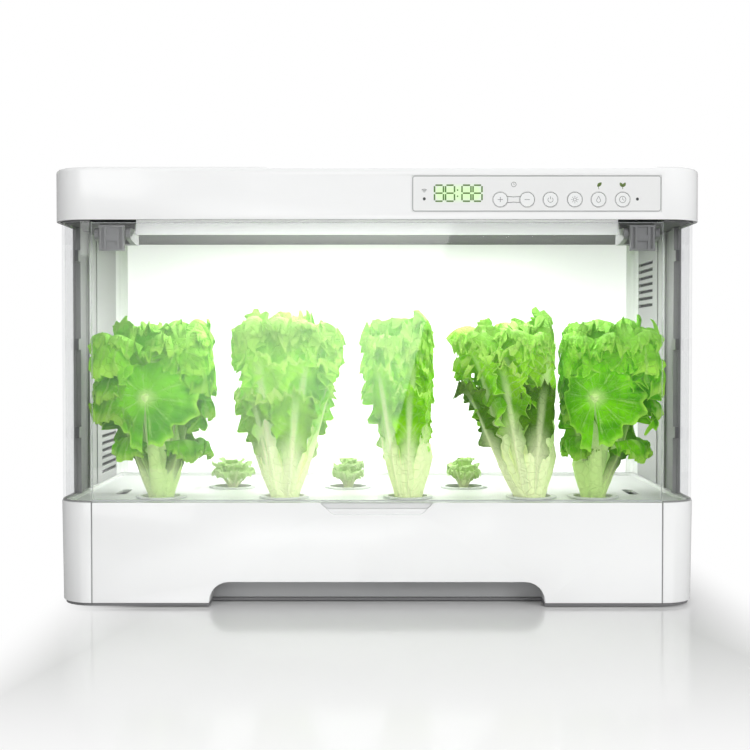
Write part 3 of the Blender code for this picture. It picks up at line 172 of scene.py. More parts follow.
# %% A level that grows its own Math nodes
class Level:
    """A number that varies over a surface. Python's operators on it add Math nodes."""

    def __init__(self, finish, socket):
        self.finish = finish
        self.socket = socket

    def math(self, operation, other=None, swapped=False):
        """A Math node on this level, and on another level or number where one is given."""
        values = [self] if other is None else [self, other]
        if swapped:
            values.reverse()
        inputs = dict(enumerate(values))
        return self.finish.node("ShaderNodeMath", {"operation": operation}, inputs)

    def __add__(self, other):
        return self.math("ADD", other)

    def __sub__(self, other):
        return self.math("SUBTRACT", other)

    def __mul__(self, other):
        return self.math("MULTIPLY", other)

    def __pow__(self, other):
        return self.math("POWER", other)

    __radd__ = __add__
    __rmul__ = __mul__

    def __rsub__(self, other):
        return self.math("SUBTRACT", other, swapped=True)

    def __abs__(self):
        return self.math("ABSOLUTE")

    def smooth(self, low, high):
        """0 below low, 1 above high, and a soft step between. low may be the larger."""
        return self.finish.node(
            "ShaderNodeMapRange", {"interpolation_type": "SMOOTHSTEP"},
            {"Value": self, "From Min": low, "From Max": high},
        )


# %% A finish and its nodes
def socket_name(word):
    """The name of a shader's socket from a Python word, such as coat_weight."""
    return word.replace("_", " ").title().replace("Ior", "IOR")


class Finish:
    """A material that starts as one Principled shader."""

    def __init__(self, name, **constants):
        self.material = bpy.data.materials.new(name)
        self.material.use_nodes = True
        self.tree = self.material.node_tree
        self.shader = self.tree.nodes["Principled BSDF"]
        self.output = self.tree.nodes["Material Output"]
        for socket, value in constants.items():
            self.shader.inputs[socket_name(socket)].default_value = value

    def node(self, kind, settings=None, inputs=None, output=0):
        """Adds a node, gives it its settings, then the values or links of its sockets."""
        made = self.tree.nodes.new(kind)
        for setting, value in (settings or {}).items():
            setattr(made, setting, value)
        for socket, value in (inputs or {}).items():
            self.feed(made.inputs[socket], value)
        return Level(self, made.outputs[output])

    def feed(self, socket, value):
        """Links a level to a socket, or sets the socket to a number or a colour."""
        if isinstance(value, Level):
            self.tree.links.new(value.socket, socket)
        elif isinstance(value, tuple) and len(value) == 3 and socket.type == "RGBA":
            socket.default_value = (*value, 1)
        else:
            socket.default_value = value

    def set(self, **sockets):
        """Feeds sockets of the Principled shader."""
        for socket, value in sockets.items():
            self.feed(self.shader.inputs[socket_name(socket)], value)

    def place(self, axis=None):
        """The point of the surface, or one of its coordinates, in metres."""
        point = self.node("ShaderNodeTexCoord", output="Object")
        return point if axis is None else self.split(point, axis)

    def split(self, vector, axis):
        return self.node("ShaderNodeSeparateXYZ", {}, {0: vector}, output="XYZ".index(axis))

    def noise(self, scale, detail=2, roughness=0.5, where=None):
        """A cloudy level from 0 to 1, with about scale clouds to the metre."""
        return self.node("ShaderNodeTexNoise", {}, {
            "Vector": where or self.place(), "Scale": scale, "Detail": detail,
            "Roughness": roughness,
        })

    def mix(self, share, first, second):
        """Mixes two colours by a share from 0 to 1."""
        settings = {"data_type": "RGBA", "clamp_factor": True}
        return self.node("ShaderNodeMix", settings, {0: share, 6: first, 7: second}, output=2)

    def bump(self, height, depth, strength=1.0):
        """Feeds Normal with a relief that is depth metres deep."""
        self.set(normal=self.node("ShaderNodeBump", {}, {
            "Height": height, "Distance": depth, "Strength": strength,
        }))

    def blend(self, share, first, second):
        """Ends the tree in a Mix Shader of two shaders."""
        mixed = self.node("ShaderNodeMixShader", {}, {0: share, 1: first, 2: second})
        self.feed(self.output.inputs["Surface"], mixed)


# %% [markdown]
# ## The camera
# The portrait is taken from straight in front, a little above the middle of the cabinet. The
# hood's 560 mm fill 638 pixels of a 750 pixel frame, and the shelf inside is seen slightly from
# above. Those two facts fix the distance and the height, so the camera is placed by them and not
# by eye.

# %% Camera
CAMERA_DISTANCE = 1.255
CAMERA_HEIGHT = 0.2244
CAMERA_TILT = math.radians(90 - 1.27)
CAMERA_TURN = math.radians(0.088)
LENS_MM, SENSOR_MM = 62.73, 36
put_down()
bpy.ops.object.camera_add(
    location=(0, -CAMERA_DISTANCE, CAMERA_HEIGHT), rotation=(CAMERA_TILT, 0, CAMERA_TURN))
camera = bpy.context.object
camera.name = "portrait_camera"
camera.data.lens = LENS_MM
camera.data.sensor_width = SENSOR_MM
bpy.context.scene.camera = camera
bpy.context.scene.view_settings.view_transform = "Standard"
print("the camera stands", CAMERA_DISTANCE, "m from the middle of the cabinet")

# %% [markdown]
# ## A pale studio
# The garden stands on a pale sweep with no horizon. The floor is a plain sheet with a slight gloss.
# It keeps the contact shadow, and only what the camera sees of it further out turns to pure white.
# More light would bleach the cabinet instead, so the white comes from the floor's own colour.

# %% Floor
FLOOR_SIZE = 9
FLOOR_TONE = (0.74, 0.74, 0.74)
put_down()
bpy.ops.mesh.primitive_plane_add(size=FLOOR_SIZE, location=(0, 0, 0))
floor = bpy.context.object
floor.name = "studio_floor"
pale = Finish("studio_paper", roughness=0.11)
pale.set(base_color=FLOOR_TONE, specular_ior_level=0.35)
print("the floor is", FLOOR_SIZE, "m wide")

# %% The floor turns white away from the cabinet
FADE_LEFT, FADE_RIGHT = (0.19, 0.29), (0.235, 0.34)
FADE_IN_FRONT, FADE_BEHIND = (0.17, 0.66), (0.06, 0.30)
floor_x, floor_y = pale.place("X"), pale.place("Y")
beside = (floor_x * -1).smooth(*FADE_LEFT).math("MAXIMUM", floor_x.smooth(*FADE_RIGHT))
in_front = (floor_y * -1).smooth(*FADE_IN_FRONT)
behind = floor_y.smooth(*FADE_BEHIND)
away = beside.math("MAXIMUM", in_front).math("MAXIMUM", behind)
camera_rays = pale.node("ShaderNodeLightPath", output="Is Camera Ray")


def glow_of(tone, strength=1.0):
    """An Emission shader of one grey, for the floor."""
    return pale.node("ShaderNodeEmission", {}, {"Color": (tone, tone, tone), "Strength": strength})


def mixed_floor(share, first, second):
    """A Mix Shader of two of the floor's shaders."""
    return pale.node("ShaderNodeMixShader", {}, {0: share, 1: first, 2: second})


paper = mixed_floor(away * camera_rays, Level(pale, pale.shader.outputs[0]), glow_of(1.0))
print("in front the floor fades to white from", FADE_IN_FRONT[0], "to", FADE_IN_FRONT[1], "m")

# %% [markdown]
# ## What the gloss mirrors of the floor
# What the cabinet's front mirrors of the floor is brighter on the left, as part of the long
# reflection below. A wedge on the floor keeps that to the front, so that the sides and the back
# stay plain. Right of its edge the door mirrors a dim stretch of the room, which leaves the greens
# deep.

# %% Bright wedge and dim stretch
GLINT_STRENGTH = 3.0
NEAR_GLINT, FAR_GLINT, DIM_STRETCH = 0.65, 1.0, 0.22
FAR_FROM, WEDGE_FAR, WEDGE_NEAR = (-0.84, -0.89), (-1.42, -1.38), (-0.14, -0.15)
EDGE_LEAN, EDGE_OFFSET = 0.0245, 0.022
CORNER_LEAN, CORNER_OFFSET = 0.219, 0.2151
shiny_rays = pale.node("ShaderNodeLightPath", output="Is Glossy Ray")
far_floor = floor_y.smooth(*FAR_FROM)
glint = mixed_floor(
    far_floor, glow_of(NEAR_GLINT, GLINT_STRENGTH), glow_of(FAR_GLINT, GLINT_STRENGTH))
left_of_edge = (floor_x + floor_y * EDGE_LEAN + EDGE_OFFSET).smooth(0.003, -0.003)
right_of_corner = (floor_x - floor_y * CORNER_LEAN + CORNER_OFFSET).smooth(-0.02, 0.0)
in_range = floor_y.smooth(*WEDGE_FAR) * floor_y.smooth(*WEDGE_NEAR)
mirrored = mixed_floor(far_floor * shiny_rays, paper, glow_of(DIM_STRETCH))
pale.blend(left_of_edge * right_of_corner * in_range * shiny_rays, mirrored, glint)
floor.data.materials.append(pale.material)
floor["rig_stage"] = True
print("the floor's finish has", len(pale.tree.nodes), "nodes")

# %% [markdown]
# ## Soft, plain light
# A pale grey sky lights all sides alike, so that a white plastic renders about as white as it is.
# One wide softbox in front, up and to the right, gives the cabinet its form: its left corners
# fall off to grey, as they do on the real one. The gloss doesn't mirror it, because it would burn
# out the hood's top when that is seen from behind. Weaker ones stand behind, at the left and above.
# The sky shows as pure white only where the camera looks straight at it.

# %% Sky
SKY_LEVEL = 0.38
sky = bpy.data.worlds.new("studio_sky")
bpy.context.scene.world = sky
sky.use_nodes = True
background = sky.node_tree.nodes["Background"]
sky_rays = sky.node_tree.nodes.new("ShaderNodeLightPath")
sky_level = sky.node_tree.nodes.new("ShaderNodeMapRange")
sky_level.inputs["To Min"].default_value = SKY_LEVEL
sky_level.inputs["To Max"].default_value = 1.0
sky.node_tree.links.new(sky_rays.outputs["Is Camera Ray"], sky_level.inputs["Value"])
sky.node_tree.links.new(sky_level.outputs[0], background.inputs["Strength"])
background.inputs["Color"].default_value = (1, 1, 1, 1)
print("the sky is at", SKY_LEVEL)


# %% Softboxes
def softbox(name, place, aim, size, watts):
    """A square area light at a place, aimed at a point."""
    put_down()
    bpy.ops.object.light_add(type="AREA", location=place)
    lamp = bpy.context.object
    lamp.name = name
    lamp.data.shape = "RECTANGLE"
    lamp.data.size, lamp.data.size_y = size
    lamp.data.energy = watts
    direction = Vector(aim) - Vector(place)
    lamp.rotation_euler = direction.to_track_quat("-Z", "Y").to_euler()
    return lamp


SOFTBOXES = {  # place, aim, size and watts
    "key_softbox": ((2.2, -3.2, 1.8), (0, 0, 0.2), (1.6, 1.6), 83),
    "rear_softbox": ((0.3, 3.4, 1.3), (0, 0, 0.15), (1.4, 1.4), 29),
    "fill_softbox": ((-1.6, -3.0, 1.2), (0, 0, 0.2), (1.4, 1.4), 21),
    "top_softbox": ((0, -0.2, 1.9), (0, 0, 0), (1.4, 1.0), 5),
}
lamps = {name: softbox(name, *row) for name, row in SOFTBOXES.items()}
lamps["key_softbox"].visible_glossy = False
for name, lamp in lamps.items():
    print(name, lamp.data.energy, "W")

# %% [markdown]
# ## One long reflection
# In the portrait a tall softbox at the left is mirrored in the hood, the door and the front panel.
# Its edge runs down them as one slanted line. The mirror image fixes where the box hangs: twice as
# far out as the point of the door that shows it. It only serves as something to be mirrored, so
# other rays pass it by.

# %% Tall softbox seen only in reflections
EDGE_POINT = (0.042, -1.40, 0.10)
HALF_WIDTH, HALF_HEIGHT, SLANT = 0.42, 0.5, math.radians(15.6)
CARD_WATTS, CARD_SPREAD = 0.29, math.radians(30)
card_x = EDGE_POINT[0] - HALF_WIDTH * math.cos(SLANT)
card_z = EDGE_POINT[2] + HALF_WIDTH * math.sin(SLANT)
reflected = softbox(
    "reflected_softbox", (card_x, EDGE_POINT[1], card_z), (card_x, 0, card_z),
    (2 * HALF_WIDTH, 2 * HALF_HEIGHT), CARD_WATTS)
reflected.rotation_euler.rotate_axis("Z", -SLANT)
reflected.data.spread = CARD_SPREAD
for sight in ("camera", "diffuse", "transmission", "volume_scatter"):
    setattr(reflected, "visible_" + sight, False)
print("the mirrored softbox hangs", -EDGE_POINT[1], "m in front")

# %% [markdown]
# ## Moulded plastic
# The cabinet is injection moulded ABS. What tells it from paint is small: a gloss that is a
# little uneven where the melt flowed, and a very fine grain from the polished tool. A broad noise
# varies the tone and the roughness, and a fine one is a bump, from a few thousandths of a
# millimetre deep on gloss to a few hundredths on rubber.

# %% Moulded plastic finishes
LIP_SHADE_TONE = (0.05, 0.05, 0.052)


def moulded_plastic(name, color, roughness, grain=0.01, coat=0.0, shade_below=None):
    """A moulded plastic with a grain in millimetres. Below a height its lip gets painted shade."""
    finish = Finish(name)
    flow = finish.noise(7, detail=3)
    tint = tuple(channel * 0.97 for channel in color)
    tone = finish.mix(flow.smooth(0.3, 0.7), tint, color)
    # Painted shade: below that height the lip is painted near black.
    if shade_below is not None:
        lip_shade = finish.place("Z").smooth(shade_below + 0.0003, shade_below - 0.0001)
        tone = finish.mix(lip_shade * 0.9, tone, LIP_SHADE_TONE)
    finish.set(
        base_color=tone,
        roughness=roughness + (flow - 0.5) * 0.12, specular_ior_level=0.3,
        coat_weight=coat, coat_roughness=0.04,
    )
    finish.bump(finish.noise(1400, detail=1), grain * MM)
    return finish.material


white_gloss = moulded_plastic("white_gloss_plastic", (0.885, 0.89, 0.89), 0.24, 0.004, coat=0.25)
hood_gloss = moulded_plastic(
    "hood_gloss_plastic", (0.895, 0.90, 0.90), 0.24, 0.004, coat=0.25, shade_below=0.3321)
white_satin = moulded_plastic("white_satin_plastic", (0.87, 0.875, 0.875), 0.42, 0.008)
warm_grey = moulded_plastic("grey_satin_plastic", (0.20, 0.20, 0.205), 0.45, 0.01)
pale_grey = moulded_plastic("pale_grey_plastic", (0.60, 0.605, 0.61), 0.40, 0.01)
# Painted shade: the hood's underside is this grey painted near black.
painted_shade_grey = moulded_plastic("shaded_grey_plastic", (0.045, 0.045, 0.047), 0.5, 0.01)
hinge_grey = moulded_plastic("hinge_grey_plastic", (0.23, 0.23, 0.235), 0.36, 0.01)
black_moulded = moulded_plastic("black_fine_plastic", (0.02, 0.02, 0.022), 0.38, 0.012)
rubber = moulded_plastic("soft_rubber", (0.05, 0.05, 0.05), 0.85, 0.05)
MOULDED = (white_gloss, hood_gloss, white_satin, warm_grey, pale_grey, painted_shade_grey, hinge_grey,
           black_moulded, rubber)
print("moulded finishes:", ", ".join(finish.name for finish in MOULDED))

# %% [markdown]
# ## Whites in the lamp's light
# Two white pieces are bathed in lamp light, the rear panel and the strip behind the hood's front
# edge. The lamp alone leaves them greyer than the real ones, so they get painted light: the rear
# panel's inner face and the whole strip glow a little.

# %% Rear panel and strip
REAR_INNER_Y = (0.1352, 0.1346)
rear_finish = Finish("rear_panel_plastic", roughness=0.42)
inner_face_glow = rear_finish.place("Y").smooth(*REAR_INNER_Y)
rear_flow = rear_finish.noise(6)
# Painted light: the rear panel's inner face glows.
rear_finish.set(
    base_color=rear_finish.mix(rear_flow, (0.86, 0.865, 0.865), (0.89, 0.89, 0.89)),
    emission_color=rear_finish.mix(inner_face_glow, (0.0, 0.0, 0.0), (1.0, 1.0, 1.0)),
    emission_strength=0.50,
)
rear_finish.bump(rear_finish.noise(1300), 0.008 * MM)

strip_finish = Finish("glare_strip_plastic", roughness=0.4)
strip_flow = strip_finish.noise(9)
strip_white_and_glow = strip_finish.mix(strip_flow, (0.86, 0.865, 0.865), (0.90, 0.90, 0.90))
# Painted light: the strip glows all over.
strip_finish.set(base_color=strip_white_and_glow, emission_color=strip_white_and_glow, emission_strength=0.42)
strip_finish.bump(strip_finish.noise(1300), 0.006 * MM)
print("lit finishes:", rear_finish.material.name, "and", strip_finish.material.name)

# %% [markdown]
# ## Side walls, white outside and in painted shade within
# A side wall is one white moulding, but inside it stands in shade, and that shade is painted: its
# inside is painted grey. It is painted darker still under the hood, along a rib, and at its front
# edge where the window plugs in, and white again at the back. Each of those zones is known by
# its place, so each is a mask that lays one more painted tone on the wall.

# %% Side walls
WALL_OUTER_X, WALL_BACK_Y = (0.2756, 0.2762), (0.1285, 0.1295)
WALL_DEEP_Y, WALL_FRONT_Y = (0.1085, 0.1115), (-0.0715, -0.0728)
WALL_REBATE_X, WALL_REBATE_Y = (0.269, 0.2705), (-0.0235, -0.0245)
WALL_UPPER_Z = (0.312, 0.330)
RIB_Y, RIB_EDGE = -0.024, (0.0022, 0.0012)
wall_finish = Finish("side_wall_plastic", roughness=0.45)
wall_x, wall_y, wall_z = abs(wall_finish.place("X")), wall_finish.place("Y"), wall_finish.place("Z")
outer_face = wall_x.smooth(*WALL_OUTER_X).math("MAXIMUM", wall_y.smooth(*WALL_BACK_Y))
deep_end = wall_y.smooth(*WALL_DEEP_Y)
front_edge_shade = wall_y.smooth(*WALL_FRONT_Y)
rib_line = abs(wall_y - RIB_Y).smooth(*RIB_EDGE)
under_hood_shade = wall_z.smooth(*WALL_UPPER_Z)
wall_tone = wall_finish.noise(14)
# Painted shade: the inside of the wall is painted grey, darker in each masked zone.
inside = wall_finish.mix(wall_tone, (0.34, 0.34, 0.345), (0.39, 0.39, 0.395))
inside = wall_finish.mix(wall_y.smooth(*WALL_REBATE_Y), inside, (0.24, 0.24, 0.245))
inside = wall_finish.mix(under_hood_shade * 0.6, inside, (0.12, 0.12, 0.125))
inside = wall_finish.mix(rib_line * 0.8, inside, (0.12, 0.12, 0.12))
inside = wall_finish.mix(front_edge_shade * wall_x.smooth(*WALL_REBATE_X), inside, (0.10, 0.10, 0.105))
inside = wall_finish.mix(deep_end, inside, (0.80, 0.805, 0.805))
wall_finish.set(base_color=wall_finish.mix(outer_face, inside, (0.87, 0.875, 0.875)))
wall_finish.bump(wall_finish.noise(1300), 0.008 * MM)
print("the side walls' finish has", len(wall_finish.tree.nodes), "nodes")

# %% [markdown]
# ## Drain slots in the tray
# The tray has a ladder of fine drain slots on both sides of each seedling. The seedlings stand at
# one pitch, so a remainder gives the distance to the nearest one, and a sine along Y makes the
# rungs. The slots are too fine to model, so they are a darker tone, painted shade for their depth,
# and a bump.

# %% Tray
SEEDLING_PITCH, PITCH_SHIFT, RUNG_PITCH = 0.112, 0.588, 0.009
LADDER_INNER, LADDER_OUTER = (0.0150, 0.0156), (0.0262, 0.0256)
LADDER_X, LADDER_Y = (0.150, 0.148), (0.0200, 0.0194)
tray_finish = Finish("tray_white_plastic", roughness=0.42, specular_ior_level=0.3)
tray_x, tray_y = tray_finish.place("X"), tray_finish.place("Y")
from_seedling = abs((tray_x + PITCH_SHIFT).math("MODULO", SEEDLING_PITCH) - SEEDLING_PITCH / 2)
ladder = from_seedling.smooth(*LADDER_INNER) * from_seedling.smooth(*LADDER_OUTER)
ladder = ladder * abs(tray_x + 0.028).smooth(*LADDER_X) * abs(tray_y - 0.012).smooth(*LADDER_Y)
rung = ((tray_y + 0.5) * (math.tau / RUNG_PITCH)).math("SINE").smooth(0.62, 0.80)
tray_flow = tray_finish.noise(9)
tray_tone = tray_finish.mix(tray_flow, (0.72, 0.725, 0.725), (0.75, 0.755, 0.755))
# Painted shade: each slot is painted dark.
tray_finish.set(base_color=tray_finish.mix(ladder * rung, tray_tone, (0.25, 0.25, 0.255)))
tray_finish.bump(tray_flow * 0.1 + ladder * rung * -1, 0.3 * MM)
print("a rung every", RUNG_PITCH, "m beside each seedling")

# %% [markdown]
# ## The seam round the drawer's front
# The seam between the base and its drawer front is a fine shadow line. A mask by the distance to
# the seam deepens it with painted shade. The foot of the front also gets a faint glow, painted
# light that stands in for light thrown up by the white table below.

# %% Base and drawer front
SEAM_X, SEAM_EDGE, SEAM_Y = 0.24515, (0.0010, 0.0004), (-0.128, -0.132)
BOUNCE_Z, BOUNCE_Y = (0.100, 0.030), (-0.1335, -0.1360)
seamed = Finish(
    "seamed_gloss_plastic", specular_ior_level=0.3, coat_weight=0.25, coat_roughness=0.04)
seam_shade = abs(abs(seamed.place("X")) - SEAM_X).smooth(*SEAM_EDGE)
seam_shade = seam_shade * seamed.place("Y").smooth(*SEAM_Y)
seam_flow = seamed.noise(7, detail=3)
bounce = seamed.place("Z").smooth(*BOUNCE_Z) * seamed.place("Y").smooth(*BOUNCE_Y)
shell_white = seamed.mix(seam_flow.smooth(0.3, 0.7), (0.86, 0.865, 0.865), (0.885, 0.89, 0.89))
# Painted shade along the seams, and a painted glow at the foot of the front.
seamed.set(
    base_color=seamed.mix(seam_shade * 0.6, shell_white, (0.16, 0.16, 0.165)),
    emission_color=seamed.mix(bounce, (0.0, 0.0, 0.0), (0.062, 0.062, 0.062)),
    emission_strength=1.0, roughness=0.24 + (seam_flow - 0.5) * 0.12,
)
seamed.bump(seamed.noise(1400, detail=1), 0.004 * MM)
print("the seams are drawn at", SEAM_X, "m on both sides")

# %% [markdown]
# ## Clear acrylic
# The door and the two corner windows are polished acrylic sheet. A sheet this thin bends light too
# little to see, so it is made as a clear shader with a gloss over it, mixed by Fresnel. Its
# sawn edges are different: light gathers in them, so they read as pale or dark lines. The place of
# each edge is known from the model, and a mask there paints it grey, or dark on the windows:
# painted light and shade.

# %% Clear finishes
def clear_acrylic(name, painted_edge_masks, tint=(0.985, 0.99, 0.99), painted_edge_color=(0.5, 0.52, 0.53),
                  shine_cap=0.3):
    """Clear sheet whose edge, where a mask is 1, gets painted light and shade. A mask is made from
    a finish.
    """
    finish = Finish(name)
    finish.set(base_color=painted_edge_color, roughness=0.3)
    through = finish.node("ShaderNodeBsdfTransparent", {}, {"Color": tint})
    shine = finish.node("ShaderNodeBsdfGlossy", {}, {"Color": (1.0, 1.0, 1.0), "Roughness": 0.02})
    fresnel = finish.node("ShaderNodeFresnel", {}, {"IOR": 1.36}).math("MINIMUM", shine_cap)
    sheet = finish.node("ShaderNodeMixShader", {}, {0: fresnel, 1: through, 2: shine})
    edge = None
    for make_mask in painted_edge_masks:
        mask = make_mask(finish)
        edge = mask if edge is None else edge.math("MAXIMUM", mask)
    finish.blend(edge, sheet, Level(finish, finish.shader.outputs[0]))
    return finish.material


# %% Masks for the edges
EDGE_SOFTNESS = 0.0004


def beyond(axis, limit, absolute=False):
    """A mask that is 1 past a plane across that axis, in metres, on both sides if absolute."""
    def mask(finish):
        level = finish.place(axis)
        level = abs(level) if absolute else level
        return level.smooth(limit - EDGE_SOFTNESS, limit + EDGE_SOFTNESS)
    return mask


def before(axis, limit):
    """A mask that is 1 short of a plane across that axis."""
    return lambda finish: finish.place(axis).smooth(limit + EDGE_SOFTNESS, limit - EDGE_SOFTNESS)


# %% Door and window finishes
door_low, door_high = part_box("door_pane")
door_clear = clear_acrylic("door_acrylic", [
    lambda finish: beyond("X", door_high.x - 0.0006, absolute=True)(finish) * 0.30,
    lambda finish: before("Z", door_low.z + 0.0011)(finish) * 0.75,
    lambda finish: beyond("Z", door_high.z - 0.0007)(finish) * 0.35,
])
window_low, window_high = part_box("corner_window_left")
window_clear = clear_acrylic("window_acrylic", [
    lambda finish: beyond("Y", window_high.y - 0.0012)(finish) * 0.75,
    lambda finish: before("Z", window_low.z + 0.0009)(finish) * 0.85,
    lambda finish: beyond("Z", window_high.z - 0.0009)(finish) * 0.85,
], tint=(0.95, 0.952, 0.955), painted_edge_color=(0.30, 0.30, 0.305), shine_cap=0.06)
print("clear finishes:", door_clear.name, "and", window_clear.name)

# %% [markdown]
# ## Lamp diffuser, cups and tank
# The diffuser is a milky sheet with the lamp behind it, so it glows. The tank and the net cups are
# natural polypropylene, which lets some light through, so a clear shader is mixed in.

# %% Milky finishes
STRIPE_RATE = 900
diffuser = Finish("glowing_diffuser", roughness=0.55)
stripes = (diffuser.place("X") * STRIPE_RATE).math("SINE")
diffuser.set(
    base_color=(0.9, 0.9, 0.9), emission_color=(1.0, 1.0, 0.98), emission_strength=0.9,
    roughness=0.5 + stripes * 0.05,
)
diffuser.bump(stripes, 0.05 * MM)

natural = Finish("natural_polypropylene", roughness=0.4)
cloud = natural.noise(30, detail=3)
natural.set(base_color=natural.mix(cloud, (0.80, 0.82, 0.82), (0.88, 0.89, 0.89)))
natural.bump(natural.noise(900), 0.01 * MM)
clear_share = natural.node("ShaderNodeBsdfTransparent", {}, {"Color": (0.9, 0.92, 0.92)})
natural.blend(0.78, clear_share, Level(natural, natural.shader.outputs[0]))

tank_wall = Finish("tank_polypropylene", roughness=0.35)
depth = tank_wall.place("Z").smooth(0.0, 0.05)
tank_wall.set(base_color=tank_wall.mix(depth, (0.58, 0.585, 0.59), (0.66, 0.665, 0.67)))
tank_wall.bump(tank_wall.noise(60, detail=3), 0.05 * MM)
tank_clear = tank_wall.node("ShaderNodeBsdfTransparent", {}, {"Color": (0.9, 0.92, 0.93)})
tank_wall.blend(0.85, tank_clear, Level(tank_wall, tank_wall.shader.outputs[0]))
print("milky finishes:", ", ".join(made.material.name for made in (diffuser, natural, tank_wall)))

# %% [markdown]
# ## Boards and bare metal
# The boards only show when the garden is taken apart, but they still get their own finishes:
# solder mask over a grid of traces, and rolled aluminium with its fine lines.

# %% Board finishes
TRACE_SCALE = 60
ROLLING = (3.0, 220.0, 3.0)
solder_mask = Finish("green_solder_mask", roughness=0.35)
traces = solder_mask.node(
    "ShaderNodeTexBrick", {"offset": 0.5},
    {"Vector": solder_mask.place(), "Scale": TRACE_SCALE, "Mortar Size": 0.03,
     "Color1": (0.0, 0.0, 0.0), "Color2": (0.0, 0.0, 0.0), "Mortar": (1.0, 1.0, 1.0)},
)
solder_mask.set(base_color=solder_mask.mix(traces, (0.01, 0.09, 0.03), (0.03, 0.20, 0.07)))
solder_mask.bump(traces, 0.03 * MM)

aluminium = Finish("bare_aluminium", metallic=1.0, roughness=0.35)
rolled = aluminium.noise(4, detail=6, where=aluminium.node(
    "ShaderNodeVectorMath", {"operation": "MULTIPLY"}, {0: aluminium.place(), 1: ROLLING},
))
aluminium.set(
    base_color=aluminium.mix(rolled, (0.75, 0.76, 0.77), (0.88, 0.88, 0.89)),
    roughness=0.28 + rolled * 0.2,
)
aluminium.bump(rolled, 0.01 * MM)
print("board finishes:", solder_mask.material.name, "and", aluminium.material.name)

# %% [markdown]
# ## Control panel film
# The panel is a pale grey printed film, let into the hood's front, with a fine darker line printed
# round it. The line follows the film's edge, so it is a mask by the distance to that edge: inside
# a rounded rectangle that distance comes from the corner's own centre.

# %% Panel film finish
film_low, film_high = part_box("control_panel")
film_middle = (film_low + film_high) / 2
film_half = (film_high - film_low) / 2


def edge_distance(finish, middle, half, corner):
    """Metres from a surface point to the edge of a rounded rectangle in X and Z, inside it."""
    across = (abs(finish.place("X") - middle.x) - (half.x - corner)).math("MAXIMUM", 0.0)
    upward = (abs(finish.place("Z") - middle.z) - (half.z - corner)).math("MAXIMUM", 0.0)
    return corner - (across * across + upward * upward).math("SQRT")


FILM_TONE, LINE_TONE = (0.80, 0.805, 0.80), (0.36, 0.37, 0.37)
FILM_CORNER = 0.0025
LINE_INNER, LINE_OUTER = (0.0011, 0.0007), (0.0001, 0.0003)
film = Finish("printed_panel_film", roughness=0.3)
film_edge = edge_distance(film, film_middle, film_half, FILM_CORNER)
line = film_edge.smooth(*LINE_INNER) * film_edge.smooth(*LINE_OUTER)
film_flow = film.noise(12)
film_tone = film.mix(film_flow, FILM_TONE, tuple(c * 1.02 for c in FILM_TONE))
film.set(base_color=film.mix(line, film_tone, LINE_TONE), roughness=0.26 + film_flow * 0.1)
film.bump(film.noise(2200, detail=0), 0.004 * MM)
print("the film is", round(2000 * film_half.x, 1), "mm wide")

# %% [markdown]
# ## Giving the measured solids their finishes
# Each node of the model already carries a named slot. Most solids have the right shape, so they
# stay and only their slot's material changes. The colour of a node can differ from its slot's, as
# for the underside of the hood: it is the same grey plastic as the plinth, but it is painted near
# black, as painted shade.

# %% Assign finishes to the nodes
SLOT_FINISH = {
    "white_plastic": white_gloss, "grey_plastic": warm_grey, "clear_plastic": window_clear,
    "panel_film": film.material, "dark_rubber": rubber, "black_plastic": black_moulded,
    "circuit_board": solder_mask.material, "board_metal": aluminium.material,
    "milky_plastic": natural.material, "tank_plastic": tank_wall.material,
}
NODE_FINISH = {
    "side_wall_left": wall_finish.material, "side_wall_right": wall_finish.material,
    "rear_panel": rear_finish.material, "glare_shield": strip_finish.material,
    "hood_shell": hood_gloss, "hood_underside": painted_shade_grey, "base_shell": seamed.material,
    "front_panel": seamed.material, "planting_tray": tray_finish.material,
    "door_pane": door_clear, "lamp_diffuser": diffuser.material, "float_stem": pale_grey,
    "hinge_arm_left": hinge_grey, "hinge_arm_right": hinge_grey,
}
slot_of = {}
for name, node in NODES.items():
    slot_of[name] = node.data.materials[0].name.split(".")[0] if node.data.materials else ""
    finish = NODE_FINISH.get(name, SLOT_FINISH.get(slot_of[name]))
    if finish is not None:
        for material_slot in node.material_slots:
            material_slot.material = finish
print("finished", sum(slot in SLOT_FINISH for slot in slot_of.values()), "nodes of", len(NODES))

# %% [markdown]
# ## Softened shells
# On the real cabinet no edge is sharp: each one catches a thin line of light. The measured shells
# have the right shape but knife edges. A copy of each is merged, its flat faces are made whole
# again, and a bevel of up to half a millimetre rounds what is sharper than thirty degrees. The copy
# then stands for the node.

# %% A merged copy of a node
MERGE_WITHIN = 0.00001
FLAT_WITHIN = math.radians(0.4)


def merged_copy(node, name):
    """A copy of a node with its doubles merged and its flat faces whole, left in edit mode."""
    put_down()
    copy = bpy.data.objects.new(name, NODES[node].data.copy())
    bpy.context.scene.collection.objects.link(copy)
    pick_up(copy)
    if copy.data.has_custom_normals:
        bpy.ops.mesh.customdata_custom_splitnormals_clear()
    bpy.ops.object.mode_set(mode="EDIT")
    bpy.ops.mesh.select_all(action="SELECT")
    bpy.ops.mesh.remove_doubles(threshold=MERGE_WITHIN)
    bpy.ops.mesh.dissolve_limited(angle_limit=FLAT_WITHIN)
    return copy


# %% Soften the shells
SHARP_ABOVE = math.radians(30)


